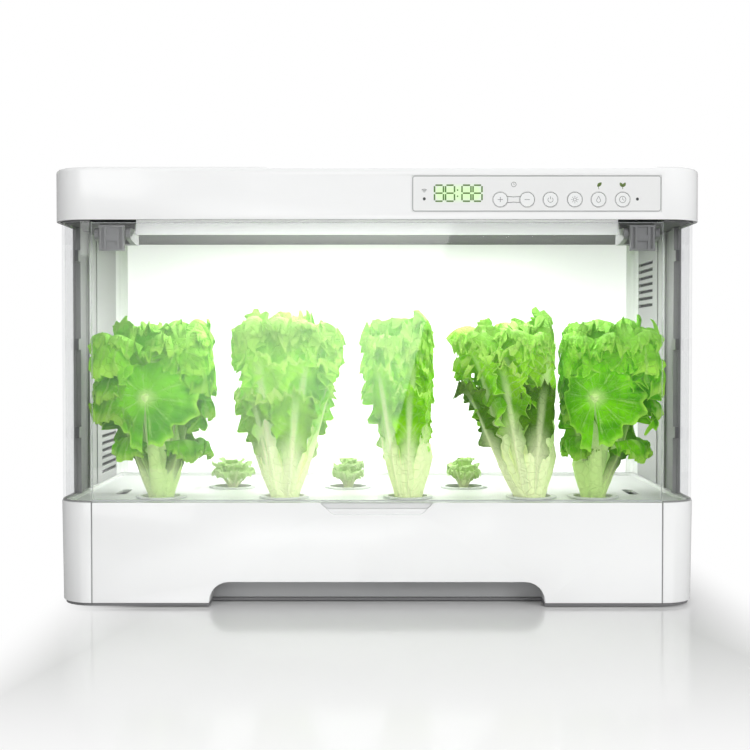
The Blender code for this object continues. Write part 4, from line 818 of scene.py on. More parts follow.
def soften(node, width, smooth=30, cutter=None):
    """A copy of a node, cut where a cutter is given, with rounded edges. It replaces the node."""
    shell = merged_copy(node, node + "_softened")
    bpy.ops.mesh.normals_make_consistent(inside=False)
    bpy.ops.object.mode_set(mode="OBJECT")
    if cutter is not None:
        grooves = shell.modifiers.new("grooves", "BOOLEAN")
        grooves.operation, grooves.solver, grooves.object = "DIFFERENCE", "EXACT", cutter
    bevel = shell.modifiers.new("soft_edges", "BEVEL")
    bevel.width = width
    bevel.segments = 2
    bevel.limit_method = "ANGLE"
    bevel.angle_limit = SHARP_ABOVE
    bevel.use_clamp_overlap = True
    bevel.miter_outer = "MITER_ARC"
    apply_all(shell)
    if cutter is not None:
        bpy.data.objects.remove(cutter)
    settle(shell, NODES[node]["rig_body"], smooth=smooth)
    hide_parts(node)
    return shell


for node, width in (("hood_shell", 0.5), ("base_shell", 0.45), ("front_panel", 0.5),
                    ("glare_shield", 0.3)):
    shell = soften(node, width * MM)
    print(shell.name, len(shell.data.polygons), "faces")

# %% [markdown]
# ## Ribbed hinge arms
# The two arms on the door are ribbed on their face, so that they look lighter than a solid block,
# and each is held by two screws sunk in it. The ribs come from cutting grooves into a copy: one
# cutter holds all of them, because one Boolean is cleaner than six.

# %% Cut the ribs and the screw seats
def cutter_box(low, high):
    """A box between two corners, to cut with."""
    put_down()
    bpy.ops.mesh.primitive_cube_add(size=1, location=[(a + b) / 2 for a, b in zip(low, high)])
    block = bpy.context.object
    block.scale = [b - a for a, b in zip(low, high)]
    bpy.ops.object.transform_apply(location=True, rotation=True, scale=True)
    return block


GROOVE_SHIFTS, SCREW_RISES = (-11.5, -7.5, 7.5, 11.5), (-6, 6)
for side in ("left", "right"):
    arm_low, arm_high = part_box("hinge_arm_" + side)
    pad = Vector(((arm_low.x + arm_high.x) / 2, arm_low.y, (arm_low.z + arm_high.z) / 2))
    tools = []
    for shift in GROOVE_SHIFTS:
        tools.append(cutter_box(
            (pad.x + (shift - 1.1) * MM, pad.y - MM, arm_low.z + 2 * MM),
            (pad.x + (shift + 1.1) * MM, pad.y + 1.6 * MM, arm_high.z - 2 * MM)))
    for rise in SCREW_RISES:
        tools.append(cutter_box(
            (pad.x - 4.4 * MM, pad.y - MM, pad.z + (rise - 3.4) * MM),
            (pad.x + 4.4 * MM, pad.y + 1.2 * MM, pad.z + (rise + 3.4) * MM)))
    arm = soften("hinge_arm_" + side, 0.25 * MM, smooth=24, cutter=join("cutter", tools))
    print(arm.name, len(arm.data.polygons), "faces")

# %% [markdown]
# ## Dust filters in the vents
# Seven slots high in the right wall and six low in the left one let the air through. On the real
# cabinet they look dark from inside, since a filter cloth sits in them. One strip of it is made
# for a slot and copied along the others.

# %% Filter strips
THREAD_PITCH = 0.0012
mesh_cloth = Finish("filter_cloth", roughness=0.9)
weave = (mesh_cloth.place("Y") * (math.tau / THREAD_PITCH)).math("SINE") * (
    mesh_cloth.place("Z") * (math.tau / THREAD_PITCH)).math("SINE")
mesh_cloth.set(base_color=mesh_cloth.mix(
    weave.smooth(-0.4, 0.6), (0.03, 0.03, 0.032), (0.11, 0.11, 0.115)))
mesh_cloth.bump(weave, 0.1 * MM)
VENT_Y = (39.8 * MM, 107.2 * MM)
VENT_PITCH = 7 * MM
VENT_ROWS = ((-1, 98 * MM, 6), (1, 264 * MM, 7))  # side, lowest slot and number of slots
for side, lowest, count in VENT_ROWS:
    near, far = sorted((side * 274.3 * MM, side * 275.3 * MM))
    strip = cutter_box(
        (near, VENT_Y[0], lowest + 0.3 * MM), (far, VENT_Y[1], lowest + 2.9 * MM))
    rounding = strip.modifiers.new("edge", "BEVEL")
    rounding.width, rounding.segments = 0.3 * MM, 2
    apply_all(strip)
    strips = [strip]
    for number in range(1, count):
        copy = strip.copy()
        copy.data = strip.data.copy()
        copy.location.z += VENT_PITCH * number
        bpy.context.scene.collection.objects.link(copy)
        strips.append(copy)
    filters = join("vent_filter_" + ("left" if side < 0 else "right"), strips)
    settle(filters, "cabinet", mesh_cloth.material)
    print(filters.name, count, "strips")

# %% [markdown]
# ## A guard behind the finger scoop
# A finger in the scoop should meet plastic and not the gap under the tray. A thin strip closes it
# from behind. It is fixed to the front panel, so it slides out with the drawer.

# %% Scoop guard
GUARD_REACH, GUARD_TOP, GUARD_FOOT = 52 * MM, 5.5 * MM, 14 * MM
panel_low, panel_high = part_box("front_panel")
guard = cutter_box(
    (-GUARD_REACH, panel_low.y + 2.95 * MM, panel_high.z - GUARD_FOOT),
    (GUARD_REACH, panel_low.y + 3.75 * MM, panel_high.z - GUARD_TOP))
rounding = guard.modifiers.new("edge", "BEVEL")
rounding.width, rounding.segments = 0.25 * MM, 3
apply_all(guard)
guard.name = guard.data.name = "scoop_guard"
settle(guard, NODES["front_panel"]["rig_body"], white_satin)

# %% [markdown]
# ## Sheets from a grid
# Leaves, strokes of print and other thin things all begin as the same primitive: a flat grid. Its
# two coordinates run across and along the piece, and a formula moves each vertex from there to
# its place. The grid's own UV map stays with it, so a pattern can follow the piece too.

# %% Grid helper
def shaped_grid(name, columns, rows, place):
    """A grid whose vertices are moved to place(across, along), both from -1 to 1 and 0 to 1."""
    put_down()
    bpy.ops.mesh.primitive_grid_add(
        x_subdivisions=columns, y_subdivisions=rows, size=2, calc_uvs=True)
    sheet = bpy.context.object
    sheet.name = name
    flat = np.zeros(len(sheet.data.vertices) * 3)
    sheet.data.vertices.foreach_get("co", flat)
    flat = flat.reshape(-1, 3)
    moved = place(flat[:, 0], (flat[:, 1] + 1) / 2)
    sheet.data.vertices.foreach_set("co", np.asarray(moved, float).ravel())
    sheet.data.update()
    return sheet


# %% [markdown]
# ## Printed marks on the panel
# The film carries a clock display, six round keys and a few small pictures. They are strokes of
# ink a few hundredths of a millimetre thick, so each one is a narrow strip that follows a line of
# points and then gets that thickness.

# %% Strokes of ink
INK = 0.03 * MM
FILM_FACE = film_low.y


def inked(strip):
    """Gives a strip of print the thickness of ink."""
    ink = strip.modifiers.new("ink", "SOLIDIFY")
    ink.thickness = INK
    ink.offset = 0
    apply_all(strip)
    return strip


def beside_line(line, run, at, side, face):
    """Points in X and Z beside a line's point number at, side metres off, on a face in Y."""
    steps = np.arange(len(line))
    x, z = np.interp(at, steps, line[:, 0]), np.interp(at, steps, line[:, 1])
    run_x, run_z = np.interp(at, steps, run[:, 0]), np.interp(at, steps, run[:, 1])
    length = np.hypot(run_x, run_z) + 1e-12
    return np.stack(
        [x - run_z / length * side, np.full_like(x, face), z + run_x / length * side], 1)


def stroke(points, width, face, closed=False):
    """A strip of ink in X and Z, width wide, along points in metres, standing on a face in Y."""
    line = np.array(points + points[:1] if closed else points, float)
    run = np.gradient(line, axis=0)
    if closed:
        ahead, behind = np.roll(line[:-1], -1, 0), np.roll(line[:-1], 1, 0)
        run = np.vstack([ahead - behind, (ahead - behind)[:1]])
    last = len(line) - 1
    return inked(shaped_grid("stroke", 1, last, lambda across, along: beside_line(
        line, run, along * last, across * width / 2, face)))


def arc(x, z, radius, start=0.0, end=1.0, steps=28):
    """Points of an arc in turns anticlockwise from +X, as seen from the front."""
    turns = [math.tau * (start + (end - start) * i / steps) for i in range(steps + 1)]
    return [(x + radius * math.cos(turn), z + radius * math.sin(turn)) for turn in turns]


def ring(x, z, radius, width, face):
    """A closed round stroke."""
    return stroke(arc(x, z, radius, steps=40)[:-1], width, face, closed=True)


# %% Ink colours
def ink_finish(name, color, glow=0.0):
    """A slightly mottled ink, which glows where it stands for a lit display."""
    ink = Finish(name, roughness=0.45)
    mottle = ink.noise(1500)
    ink.set(base_color=ink.mix(mottle, color, tuple(c * 0.9 + 0.01 for c in color)))
    if glow:
        ink.set(emission_color=color, emission_strength=glow)
    return ink.material


grey_ink = ink_finish("grey_ink", (0.17, 0.175, 0.175))
dark_ink = ink_finish("dark_ink", (0.05, 0.055, 0.055))
olive_ink = ink_finish("olive_ink", (0.13, 0.20, 0.05))
digit_ink = ink_finish("display_segments", (0.09, 0.20, 0.035), glow=0.10)
print("inks:", ", ".join(ink.name for ink in (grey_ink, dark_ink, olive_ink, digit_ink)))

# %% [markdown]
# ## The clock display
# Behind the film's window sits a four-digit module. Each digit is seven segments with fine gaps
# between them, on a field that glows pale green and fades out towards the film. One function draws
# a digit's segments, and the four digits are the same one at four places.

# %% Display field
GLOW_CORNER, GLOW_FADE = 0.009, (0.0008, 0.0075)
lens_low, lens_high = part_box("display_lens")
lens_middle = (lens_low + lens_high) / 2
glow_film = Finish("glowing_window", roughness=0.28)
patch_half = (lens_high - lens_low) / 2 + Vector((1.2 * MM, 0, 1.2 * MM))
lens_edge = edge_distance(glow_film, lens_middle, patch_half, GLOW_CORNER)
glow = lens_edge.smooth(*GLOW_FADE)
glow_film.set(
    base_color=glow_film.mix(glow, FILM_TONE, (0.66, 0.86, 0.52)),
    emission_color=glow_film.mix(glow, (0.0, 0.0, 0.0), (0.60, 1.0, 0.42)),
    emission_strength=0.16,
)
glow_film.bump(glow_film.noise(2200, detail=0), 0.004 * MM)
for material_slot in NODES["display_lens"].material_slots:
    material_slot.material = glow_film.material
window_sheet = inked(shaped_grid(
    "display_window_film", 24, 12, lambda across, along: np.stack([
        lens_middle.x + across * patch_half.x, np.full_like(across, FILM_FACE - INK / 2),
        lens_middle.z + (along * 2 - 1) * patch_half.z], 1)))
settle(window_sheet, "cabinet", glow_film.material)
print("display window:", len(window_sheet.data.polygons), "faces")

# %% Display digits
DIGIT_HEIGHT = 13.6 * MM
DIGIT_WIDTH = 7.6 * MM
SEGMENT = 1.3 * MM
SEGMENT_GAP = 0.12 * MM
DIGIT_PLACES = (-21.0, -11.6, 2.4, 11.8)
DIGIT_SHIFT, COLON_SHIFT = 0.8 * MM, 0.6 * MM
COLON_RISES, COLON_DOT = (-2.6, 2.6), 1.2 * MM


def digit(x, z, face):
    """The seven segments of an 8, whose left edge is at x and whose middle is at z."""
    tall, wide, gap = DIGIT_HEIGHT / 2, DIGIT_WIDTH, SEGMENT_GAP
    bars = []
    for level in (-tall, 0, tall):
        bars.append([(x + gap + SEGMENT / 2, z + level), (x + wide / 2, z + level),
                     (x + wide - gap - SEGMENT / 2, z + level)])
    for side in (0, wide):
        for low, high in ((-tall, 0), (0, tall)):
            bars.append([(x + side, z + low + gap + SEGMENT / 2), (x + side, z + (low + high) / 2),
                         (x + side, z + high - gap - SEGMENT / 2)])
    return [stroke(bar, SEGMENT, face) for bar in bars]


digit_face = FILM_FACE - INK * 1.5
segments = []
for shift in DIGIT_PLACES:
    segments += digit(lens_middle.x + shift * MM + DIGIT_SHIFT, lens_middle.z, digit_face)
for rise in COLON_RISES:
    dot = (lens_middle.x - COLON_SHIFT, lens_middle.z + rise * MM)
    segments.append(stroke(
        [(dot[0], dot[1] - 0.6 * MM), dot, (dot[0], dot[1] + 0.6 * MM)], COLON_DOT, digit_face))
digits = settle(join("display_digits", segments), "cabinet", digit_ink)
print("display digits:", len(digits.data.polygons), "faces")

# %% [markdown]
# ## Small pictures round the keys
# A leaf and a sprout mark the two growing programs, a small clock marks the plus and minus pair,
# two dots are the status lights, and three arcs over one of them say that it is about the signal.
# A filled picture is drawn as one stroke whose width changes, so a leaf is a lens shape swept
# along its own midrib.

# %% Filled marks
def blob(points, widths, face):
    """A filled shape: a strip along points whose half width changes."""
    line = np.array(points, float)
    run = np.gradient(line, axis=0)
    last = len(line) - 1

    def place(across, along):
        side = across * np.interp(along * last, np.arange(last + 1), widths)
        return beside_line(line, run, along * last, side, face)

    return inked(shaped_grid("blob", 2, 2 * last, place))


def leaf_mark(x, z, turn, length, width, face):
    """A pointed leaf that starts at a point and heads along a direction in turns."""
    shares = [0, 0.15, 0.35, 0.55, 0.75, 0.9, 1]
    heading = (math.cos(math.tau * turn), math.sin(math.tau * turn))
    points = [(x + heading[0] * length * s, z + heading[1] * length * s) for s in shares]
    widths = [width * math.sin(math.pi * min(1, s * 0.96 + 0.02)) ** 0.8 for s in shares]
    return blob(points, widths, face)


def dot_mark(x, z, radius, face):
    """A filled round dot."""
    shares = [i / 8 for i in range(9)]
    points = [(x + radius * (2 * s - 1), z) for s in shares]
    widths = [max(0.02 * MM, radius * math.sqrt(max(0.0, 1 - (2 * s - 1) ** 2))) for s in shares]
    return blob(points, widths, face)


# %% Marks in grey ink
KEY_NAMES = ("plus", "minus", "power", "light", "pump", "timer")
mark_face = FILM_FACE - INK / 2
KEY_X = {}
for name in KEY_NAMES:
    key_low, key_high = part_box("key_" + name)
    KEY_X[name] = (key_low.x + key_high.x) / 2
    KEY_Z = (key_low.z + key_high.z) / 2
between = (KEY_X["plus"] + KEY_X["minus"]) / 2
status_x = 40.2 * MM
marks = [
    stroke([(KEY_X["plus"] + 6.1 * MM, KEY_Z + 2.6 * MM), (between, KEY_Z + 2.2 * MM),
            (KEY_X["minus"] - 6.1 * MM, KEY_Z + 2.6 * MM)], 0.5 * MM, mark_face),
    stroke([(KEY_X["plus"] + 6.1 * MM, KEY_Z - 2.6 * MM), (between, KEY_Z - 2.2 * MM),
            (KEY_X["minus"] - 6.1 * MM, KEY_Z - 2.6 * MM)], 0.5 * MM, mark_face),
    ring(between, KEY_Z + 12.8 * MM, 2.0 * MM, 0.4 * MM, mark_face),
    stroke([(between, KEY_Z + 14.0 * MM), (between, KEY_Z + 12.8 * MM),
            (between + 0.9 * MM, KEY_Z + 12.3 * MM)], 0.35 * MM, mark_face),
]
for reach in (1.2, 2.3, 3.4):
    wave = arc(status_x, 354.4 * MM, reach * MM, 0.14, 0.36, steps=10)
    marks.append(stroke(wave, 0.5 * MM, mark_face))
panel_marks = settle(join("panel_marks", marks), "cabinet", grey_ink)
print("grey marks:", len(panel_marks.data.polygons), "faces")

# %% Status dots and program marks
dots = [dot_mark(status_x, 349.6 * MM, 1.3 * MM, mark_face),
        dot_mark(221.5 * MM, 349.4 * MM, 1.3 * MM, mark_face)]
status_dots = settle(join("status_dots", dots), "cabinet", dark_ink)
program_x, program_z = KEY_X["pump"] - 0.6 * MM, KEY_Z + 10.2 * MM
sprout_x = KEY_X["timer"]
greens = [
    leaf_mark(program_x - 0.6 * MM, program_z + 0.8 * MM, 0.12, 5.0 * MM, 1.5 * MM, mark_face),
    stroke([(program_x + 0.9 * MM, program_z - 1.6 * MM),
            (program_x + 0.3 * MM, program_z + 0.4 * MM),
            (program_x + 1.8 * MM, program_z + 2.6 * MM)], 0.45 * MM, mark_face),
    leaf_mark(sprout_x, program_z + 0.4 * MM, 0.16, 4.4 * MM, 1.3 * MM, mark_face),
    leaf_mark(sprout_x, program_z + 0.4 * MM, 0.34, 4.4 * MM, 1.3 * MM, mark_face),
    stroke([(sprout_x, program_z - 1.4 * MM), (sprout_x, program_z - 0.4 * MM),
            (sprout_x, program_z + 0.8 * MM)], 0.5 * MM, mark_face),
]
program_marks = settle(join("program_marks", greens), "cabinet", olive_ink)
for mark in (status_dots, program_marks):
    print(mark.name, len(mark.data.polygons), "faces")

# %% [markdown]
# ## Dished keys
# Each key is a small round button that travels a little over half a millimetre. A finger feels it
# by its dished face inside a fine rim. A copy of the measured key is merged, its front face is
# inset and pushed in a little, and its ring and picture are laid in the dish, still behind the
# rim. The copy rides on the key's own body, so the print moves with it.

# %% Key pictures
def key_picture(name, x, z, face):
    """The strokes of a key's picture."""
    small, fine = 0.42 * MM, 0.38 * MM
    if name == "plus":
        return [stroke([(x - 2.2 * MM, z), (x, z), (x + 2.2 * MM, z)], small, face),
                stroke([(x, z + 0.25 * MM), (x, z + 1.2 * MM), (x, z + 2.2 * MM)], small, face),
                stroke([(x, z - 2.2 * MM), (x, z - 1.2 * MM), (x, z - 0.25 * MM)], small, face)]
    if name == "minus":
        return [stroke([(x - 2.2 * MM, z), (x, z), (x + 2.2 * MM, z)], small, face)]
    if name == "power":
        return [stroke(arc(x, z - 0.2 * MM, 2.2 * MM, 0.36, 1.14), fine, face),
                stroke([(x, z + 0.3 * MM), (x, z + 1.6 * MM), (x, z + 2.7 * MM)], fine, face)]
    if name == "light":
        rays = []
        for i in range(8):
            c, s = math.cos(math.tau * i / 8), math.sin(math.tau * i / 8)
            ray = [(x + reach * MM * c, z + reach * MM * s) for reach in (2.1, 2.6, 3.1)]
            rays.append(stroke(ray, fine, face))
        return [ring(x, z, 1.3 * MM, fine, face), *rays]
    if name == "pump":
        drop = arc(x, z - 0.7 * MM, 1.7 * MM, 0.40, 1.10)
        tip = (x, z + 2.9 * MM)
        return [stroke([tip, *drop, tip], fine, face)]
    hand = [(x, z + 1.9 * MM), (x, z), (x + 1.5 * MM, z - 0.7 * MM)]
    return [ring(x, z, 2.7 * MM, fine, face), stroke(hand, fine, face)]


# %% Key caps
DISH, DISH_RIM, DISH_SLOPE = 0.07 * MM, 0.35 * MM, 0.3 * MM
RING_RADIUS, RING_WIDTH = 6.0 * MM, 0.42 * MM
key_finish = moulded_plastic("key_plastic", (0.84, 0.85, 0.845), 0.28, 0.004)
for name, x in KEY_X.items():
    node = "key_" + name
    body = NODES[node]["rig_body"]
    key = merged_copy(node, f"{name}_key_cap")
    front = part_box(node)[0].y
    select_faces(key, lambda middle, normal: normal.y < -0.9 and middle.y < front + 0.00005)
    bpy.ops.mesh.inset(thickness=DISH_RIM)
    bpy.ops.transform.translate(value=(0, DISH, 0))
    bpy.ops.mesh.inset(thickness=DISH_SLOPE)
    put_down()
    settle(key, body, key_finish, smooth=25)
    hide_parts(node)
    face = front + DISH - INK / 2
    strokes = [ring(x, KEY_Z, RING_RADIUS, RING_WIDTH, face), *key_picture(name, x, KEY_Z, face)]
    settle(join(f"{name}_key_print", strokes), body, grey_ink)
print("keys:", ", ".join(KEY_X))

# %% [markdown]
# ## Living lettuce colour
# A lettuce leaf is bright lime between its veins, paler along its frilled margin, and almost white
# where the midrib thickens into the stalk. The grid's UV map runs across and along each leaf, so
# those zones are masks on two numbers. On top comes painted light and shade: by a stored tone,
# leaves deep in a head are painted dark and pale leaves paler, the crown is painted paler with
# height, and the whole leaf glows a little, paler at the stalk. The tips of the crown are a fuller
# green again, since the lamp would bleach them. Light also comes through a leaf: a share of the
# shader is translucent, of one plain green, and that share falls in the painted shade, in the stalk
# and in the tips.

# %% Zones of a leaf
def leaf_zones(veins_run, across, along, patch, crinkle, rib_top):
    """Masks for veins, midrib, stalk and margin. Veins run round, as a fan, or up a blade."""
    if veins_run == "round":
        swing = across * (math.tau * 5) + patch * 2.5
        beat = swing.math("COSINE") + (crinkle - 0.5) * 0.4
        fork = (swing * 3 + along * 4).math("COSINE").smooth(0.86, 1.0) * along.smooth(0.3, 0.5)
        veins = beat.smooth(0.90, 1.0).math("MAXIMUM", fork * 0.6) * along.smooth(1.0, 0.6)
        return veins, along.smooth(0.30, 0.06), along.smooth(0.10, 0.02), along.smooth(0.86, 1.0)
    side = abs(across)
    if veins_run == "fan":
        beat = (across.math("ARCTAN2", along - 0.34) * 13 + patch * 3).math("COSINE")
    else:
        beat = ((along * 14 - side * 4.6) * math.tau + patch * 9).math("COSINE")
    wobble = beat + (crinkle - 0.5) * 0.5
    veins = wobble.smooth(0.74, 1.0) * side.smooth(0.02, 0.12) * side.smooth(1.0, 0.5)
    if veins_run == "blade":
        veins = veins * (0.12 + 0.88 * patch.smooth(0.44, 0.62))
    midrib = side.smooth(0.17, 0.03) * along.smooth(1.0, 0.5)
    stalk = (along + side * 0.12).smooth(rib_top, rib_top - 0.34)
    margin = (side ** 3.0).math("MAXIMUM", along.smooth(0.84, 1.0)).smooth(0.5, 1.0)
    return veins, midrib, stalk, margin


# %% Leaf finish
TIP_GREEN, STALK_GLOW = (0.26, 0.55, 0.10), (1.0, 1.0, 0.70)
CROWN_Z, TIPS_Z = (0.185, 0.25), (0.204, 0.244)


def leaf_finish(name, greens, veins_run, glow_share=0.4, rib_top=0.46, lit=0.14):
    """A leaf whose colours follow its UV map, with painted light and shade. greens: deep, fresh,
    pale edge and rib. lit is the strength of its painted glow.
    """
    deep, fresh, pale_edge, rib = greens
    finish = Finish(name)
    surface = finish.node("ShaderNodeUVMap", {})
    across = finish.split(surface, "X") * 2 - 1
    along = finish.split(surface, "Y")
    tone = finish.node("ShaderNodeAttribute", {"attribute_name": "leaf_light_and_shade"}, output=2)
    patch = finish.noise(34, detail=3, roughness=0.6)
    crinkle = finish.noise(260, detail=2)
    cells = finish.node("ShaderNodeTexVoronoi", {"feature": "DISTANCE_TO_EDGE"}, {
        "Vector": finish.place(), "Scale": 135.0, "Randomness": 1.0})
    net = cells.smooth(0.10, 0.01)
    veins, midrib, stalk, margin = leaf_zones(veins_run, across, along, patch, crinkle, rib_top)
    # Painted light: the crown is painted paler with height, and leaves of a high tone paler still.
    crown = finish.place("Z").smooth(*CROWN_Z)
    green = finish.mix(patch.smooth(0.32, 0.66), deep, fresh)
    green = finish.mix(margin * 0.9, green, pale_edge)
    green = finish.mix((tone * 2 - 1).math("MAXIMUM", 0.0) * 0.5 + crown * 0.3, green, pale_edge)
    green = finish.mix(net * 0.12 + veins * 0.42, green, rib)
    # Painted shade: leaves of a low tone are painted dark.
    shade = (1 - tone * 2).math("MAXIMUM", 0.0)
    green = finish.mix(shade * 0.9, green, tuple(c * 0.22 for c in deep))
    green = finish.mix(midrib * (0.8 - shade * 0.4), green, rib)
    green = finish.mix(stalk * (1 - shade * 0.3), green, rib)
    tips = finish.place("Z").smooth(*TIPS_Z)
    green = finish.mix(tips * 0.78, green, TIP_GREEN)
    # The emission is painted light: a faint glow over the whole leaf, paler at the stalk.
    finish.set(
        base_color=green, roughness=0.44 + crinkle * 0.12, specular_ior_level=0.12,
        emission_color=finish.mix(stalk * 0.7, green, STALK_GLOW), emission_strength=lit,
    )
    relief = veins * 0.4 + midrib * 0.6 + crinkle * 0.3 + patch * 0.5 + net * -0.7
    finish.bump(relief, 0.9 * MM, 0.9)
    through = tuple(0.375 * a + 0.375 * b + 0.25 * c for a, b, c in zip(deep, fresh, pale_edge))
    light = finish.node("ShaderNodeBsdfTranslucent", {}, {"Color": through})
    share = glow_share * (1 - shade * 0.85) * (1 - stalk * 0.6) * (1 - tips * 0.3)
    finish.blend(share, Level(finish, finish.shader.outputs[0]), light)
    return finish.material


# %% The four leaves
ROUND_GREENS = ((0.085, 0.42, 0.001), (0.27, 0.82, 0.006), (0.56, 0.97, 0.12), (0.66, 0.92, 0.30))
TALL_GREENS = ((0.15, 0.50, 0.002), (0.42, 0.92, 0.010), (0.70, 0.99, 0.22), (0.92, 1.00, 0.60))
SPROUT_GREENS = (
    (0.40, 0.60, 0.17), (0.60, 0.82, 0.34), (0.72, 0.88, 0.50), (0.74, 0.86, 0.52))
round_leaf = leaf_finish("round_lettuce_leaf", ROUND_GREENS, "fan", lit=0.21)
fan_leaf = leaf_finish("round_lettuce_fan", ROUND_GREENS, "round", lit=0.22)
tall_leaf = leaf_finish("tall_lettuce_leaf", TALL_GREENS, "blade", rib_top=0.60, lit=0.27)
sprout_leaf = leaf_finish("seedling_leaf", SPROUT_GREENS, "blade", glow_share=0.3, lit=0.20)
print("leaf finishes:", ", ".join(
    leaf.name for leaf in (round_leaf, fan_leaf, tall_leaf, sprout_leaf)))

# %% [markdown]
# ## The growing sponge
# Each plant was sown in a plug of dark sponge. Its open cells are a fine Voronoi pattern, which is
# both its tone and its relief.

# %% Sponge finish
sponge = Finish("growing_sponge", roughness=0.95)
pores = sponge.node("ShaderNodeTexVoronoi", {}, {"Vector": sponge.place(), "Scale": 650})
sponge.set(base_color=sponge.mix(
    pores.smooth(0.1, 0.6), (0.03, 0.022, 0.015), (0.14, 0.10, 0.07)))
sponge.bump(pores, 0.4 * MM)
print("the plugs are of", sponge.material.name)

# %% [markdown]
# ## Growing a leaf
# A leaf starts at the stalk, rises, and arches over or stands up. Its spine is a Bezier curve in
# an upright plane, and the grid is laid along it: the along coordinate follows the spine and the
# across coordinate spreads to both sides. The tables give each kind its spine, in shares of the
# plant's reach and height, and its half width, in shares of the widest place.

# %% Spines and outlines
SPINES = {
    "fan": [(0.10, 0.00), (0.46, 0.42), (0.66, 1.24), (1.00, 0.66)],
    "crown": [(0.06, 0.10), (0.22, 0.56), (0.56, 1.00), (1.00, 0.94)],
    "blade": [(0.13, 0.00), (0.52, 0.34), (0.72, 0.90), (1.00, 0.96)],
    "low": [(0.12, 0.02), (0.45, 0.70), (0.80, 1.15), (1.00, 0.52)],
    "sprout": [(0.10, 0.00), (0.40, 0.50), (0.75, 1.02), (1.08, 0.84)],
    "curl": [(0.34, 0.64), (0.50, 0.86), (0.72, 1.00), (1.02, 0.90)],
}
OUTLINES = {
    "fan": [(0, 0.22), (0.22, 0.18), (0.36, 0.36), (0.52, 0.82), (0.70, 1.0), (0.88, 0.92),
            (1, 0.62)],
    "crown": [(0, 0.26), (0.3, 0.50), (0.55, 0.92), (0.85, 1.0), (1, 0.7)],
    "blade": [(0, 0.34), (0.24, 0.28), (0.38, 0.50), (0.6, 0.92), (0.88, 1.0), (1, 0.66)],
    "low": [(0, 0.28), (0.3, 0.4), (0.55, 0.9), (0.8, 1.0), (1, 0.6)],
    "sprout": [(0, 0.16), (0.25, 0.2), (0.45, 0.7), (0.7, 1.0), (0.88, 0.8), (1, 0.3)],
    "curl": [(0, 0.40), (0.3, 0.75), (0.6, 1.0), (0.85, 1.0), (1, 0.7)],
}
DROOPS = {"fan": 0.14, "crown": 0.0, "blade": 0.03, "low": 0.10, "sprout": 0.06, "curl": 0.10}


def spine_at(kind, along):
    """Points and headings of a spine, outwards and up, at shares of its length."""
    a, b, c, d = (np.array(point)[:, None] for point in SPINES[kind])
    back = 1 - along
    point = back**3 * a + 3 * back**2 * along * b + 3 * back * along**2 * c + along**3 * d
    run = 3 * back**2 * (b - a) + 6 * back * along * (c - b) + 3 * along**2 * (d - c)
    return point, run


# %% [markdown]
# ## The room of a plant
# Leaves would grow through their neighbours, the door and the lamp. So each point is drawn softly
# back inside the room that its plant has, which is a rounded quarter each way from its middle.
# That edge wavers, so that no wall shows in the leaves, and the rim of the crown is rolled down,
# as a round head's is.

# %% A plant's room
ROUNDING = 0.11
WAVER, CLEARANCE = 2.4 * MM, 0.6 * MM
SOFT_TOP = 0.94


def room_edge(room, angle):
    """Distance from a plant's middle to the edge of its room, a full rounded quarter each way."""
    left, right, front, rear = room
    span_x = np.where(np.cos(angle) > 0, right, left)
    span_y = np.where(np.sin(angle) > 0, rear, front)
    return (np.abs(np.cos(angle) / span_x) ** 2.5 + np.abs(np.sin(angle) / span_y) ** 2.5) ** -0.4


def inside_room(x, y, z, room, height, seed):
    """Draws points softly back inside a plant's room, whose edge wavers so that no wall shows."""
    from_middle = np.hypot(x, y) + 1e-9
    angle = np.arctan2(y, x)
    waver = WAVER * (1 + np.sin(z / (7 * MM) + 1.7 * seed) * np.sin(5 * angle + 2.3 * seed))
    limit = room_edge(room, angle) - CLEARANCE - waver * np.clip(z / (60 * MM), 0, 1)
    ratio = from_middle / limit
    held = ratio / (1 + ratio**9) ** (1 / 9)
    x, y = x * held / ratio, y * held / ratio
    top = (height - CLEARANCE) * (1 - 0.03 * (1 + np.sin(x / (9 * MM) + seed)))
    over = z / top - SOFT_TOP
    z = np.where(z / top > SOFT_TOP, top * (SOFT_TOP + 0.06 * np.tanh(over / 0.06)), z)
    rolled = 1 + 0.5 * np.sin(3 * angle + 1.9 * seed)
    z = z * (1 - ROUNDING * rolled * held**4 * np.clip(z / height, 0, 1) ** 2)
    lowest = 6 * MM * (1 - np.exp(-np.clip(from_middle - 12 * MM, 0, 1) / (6 * MM)))
    return x, y, np.maximum(z, lowest)


# %% [markdown]
# ## Ruffles
# The margin of a lettuce leaf is longer than the leaf is wide, which is what makes it frill. Here
# sine waves that grow towards the margin do that: long low ones inside, and short ones at the rim.

# %% Ruffles
def ruffles(edge, along, seed):
    """Waves along a leaf's margin, longer and lower inside, shorter at the rim."""
    rim = np.abs(edge)
    lag = seed * 1.7 + np.sign(edge) * 1.3
    tip = np.clip((along - 0.70) / 0.30, 0, 1)
    drift = 0.35 * np.sin(math.tau * 1.3 * along + 2.9 * seed)
    return (
        np.sin(math.tau * (2.7 * along + drift) + lag) * rim**1.6
        + 0.66 * np.sin(math.tau * (6.3 * along - drift) + 2.3 * lag + 1.0) * rim**2.6
        + 0.38 * np.sin(math.tau * 10.1 * along + 3.1 * lag + 2.0) * rim**3.5
        + tip**1.3 * (
            0.50 * np.sin(math.tau * 1.15 * edge + seed)
            + 0.60 * np.sin(math.tau * 2.7 * edge + 2 * seed)
            + 0.55 * np.sin(math.tau * 4.6 * edge + 3 * seed))
    )


# %% [markdown]
# ## The points of a leaf
# The grid is bent to the spine, cupped across it, scalloped at its margin, ruffled and then held
# inside the room. Each leaf of a table is one row of numbers, so all of them share this function.

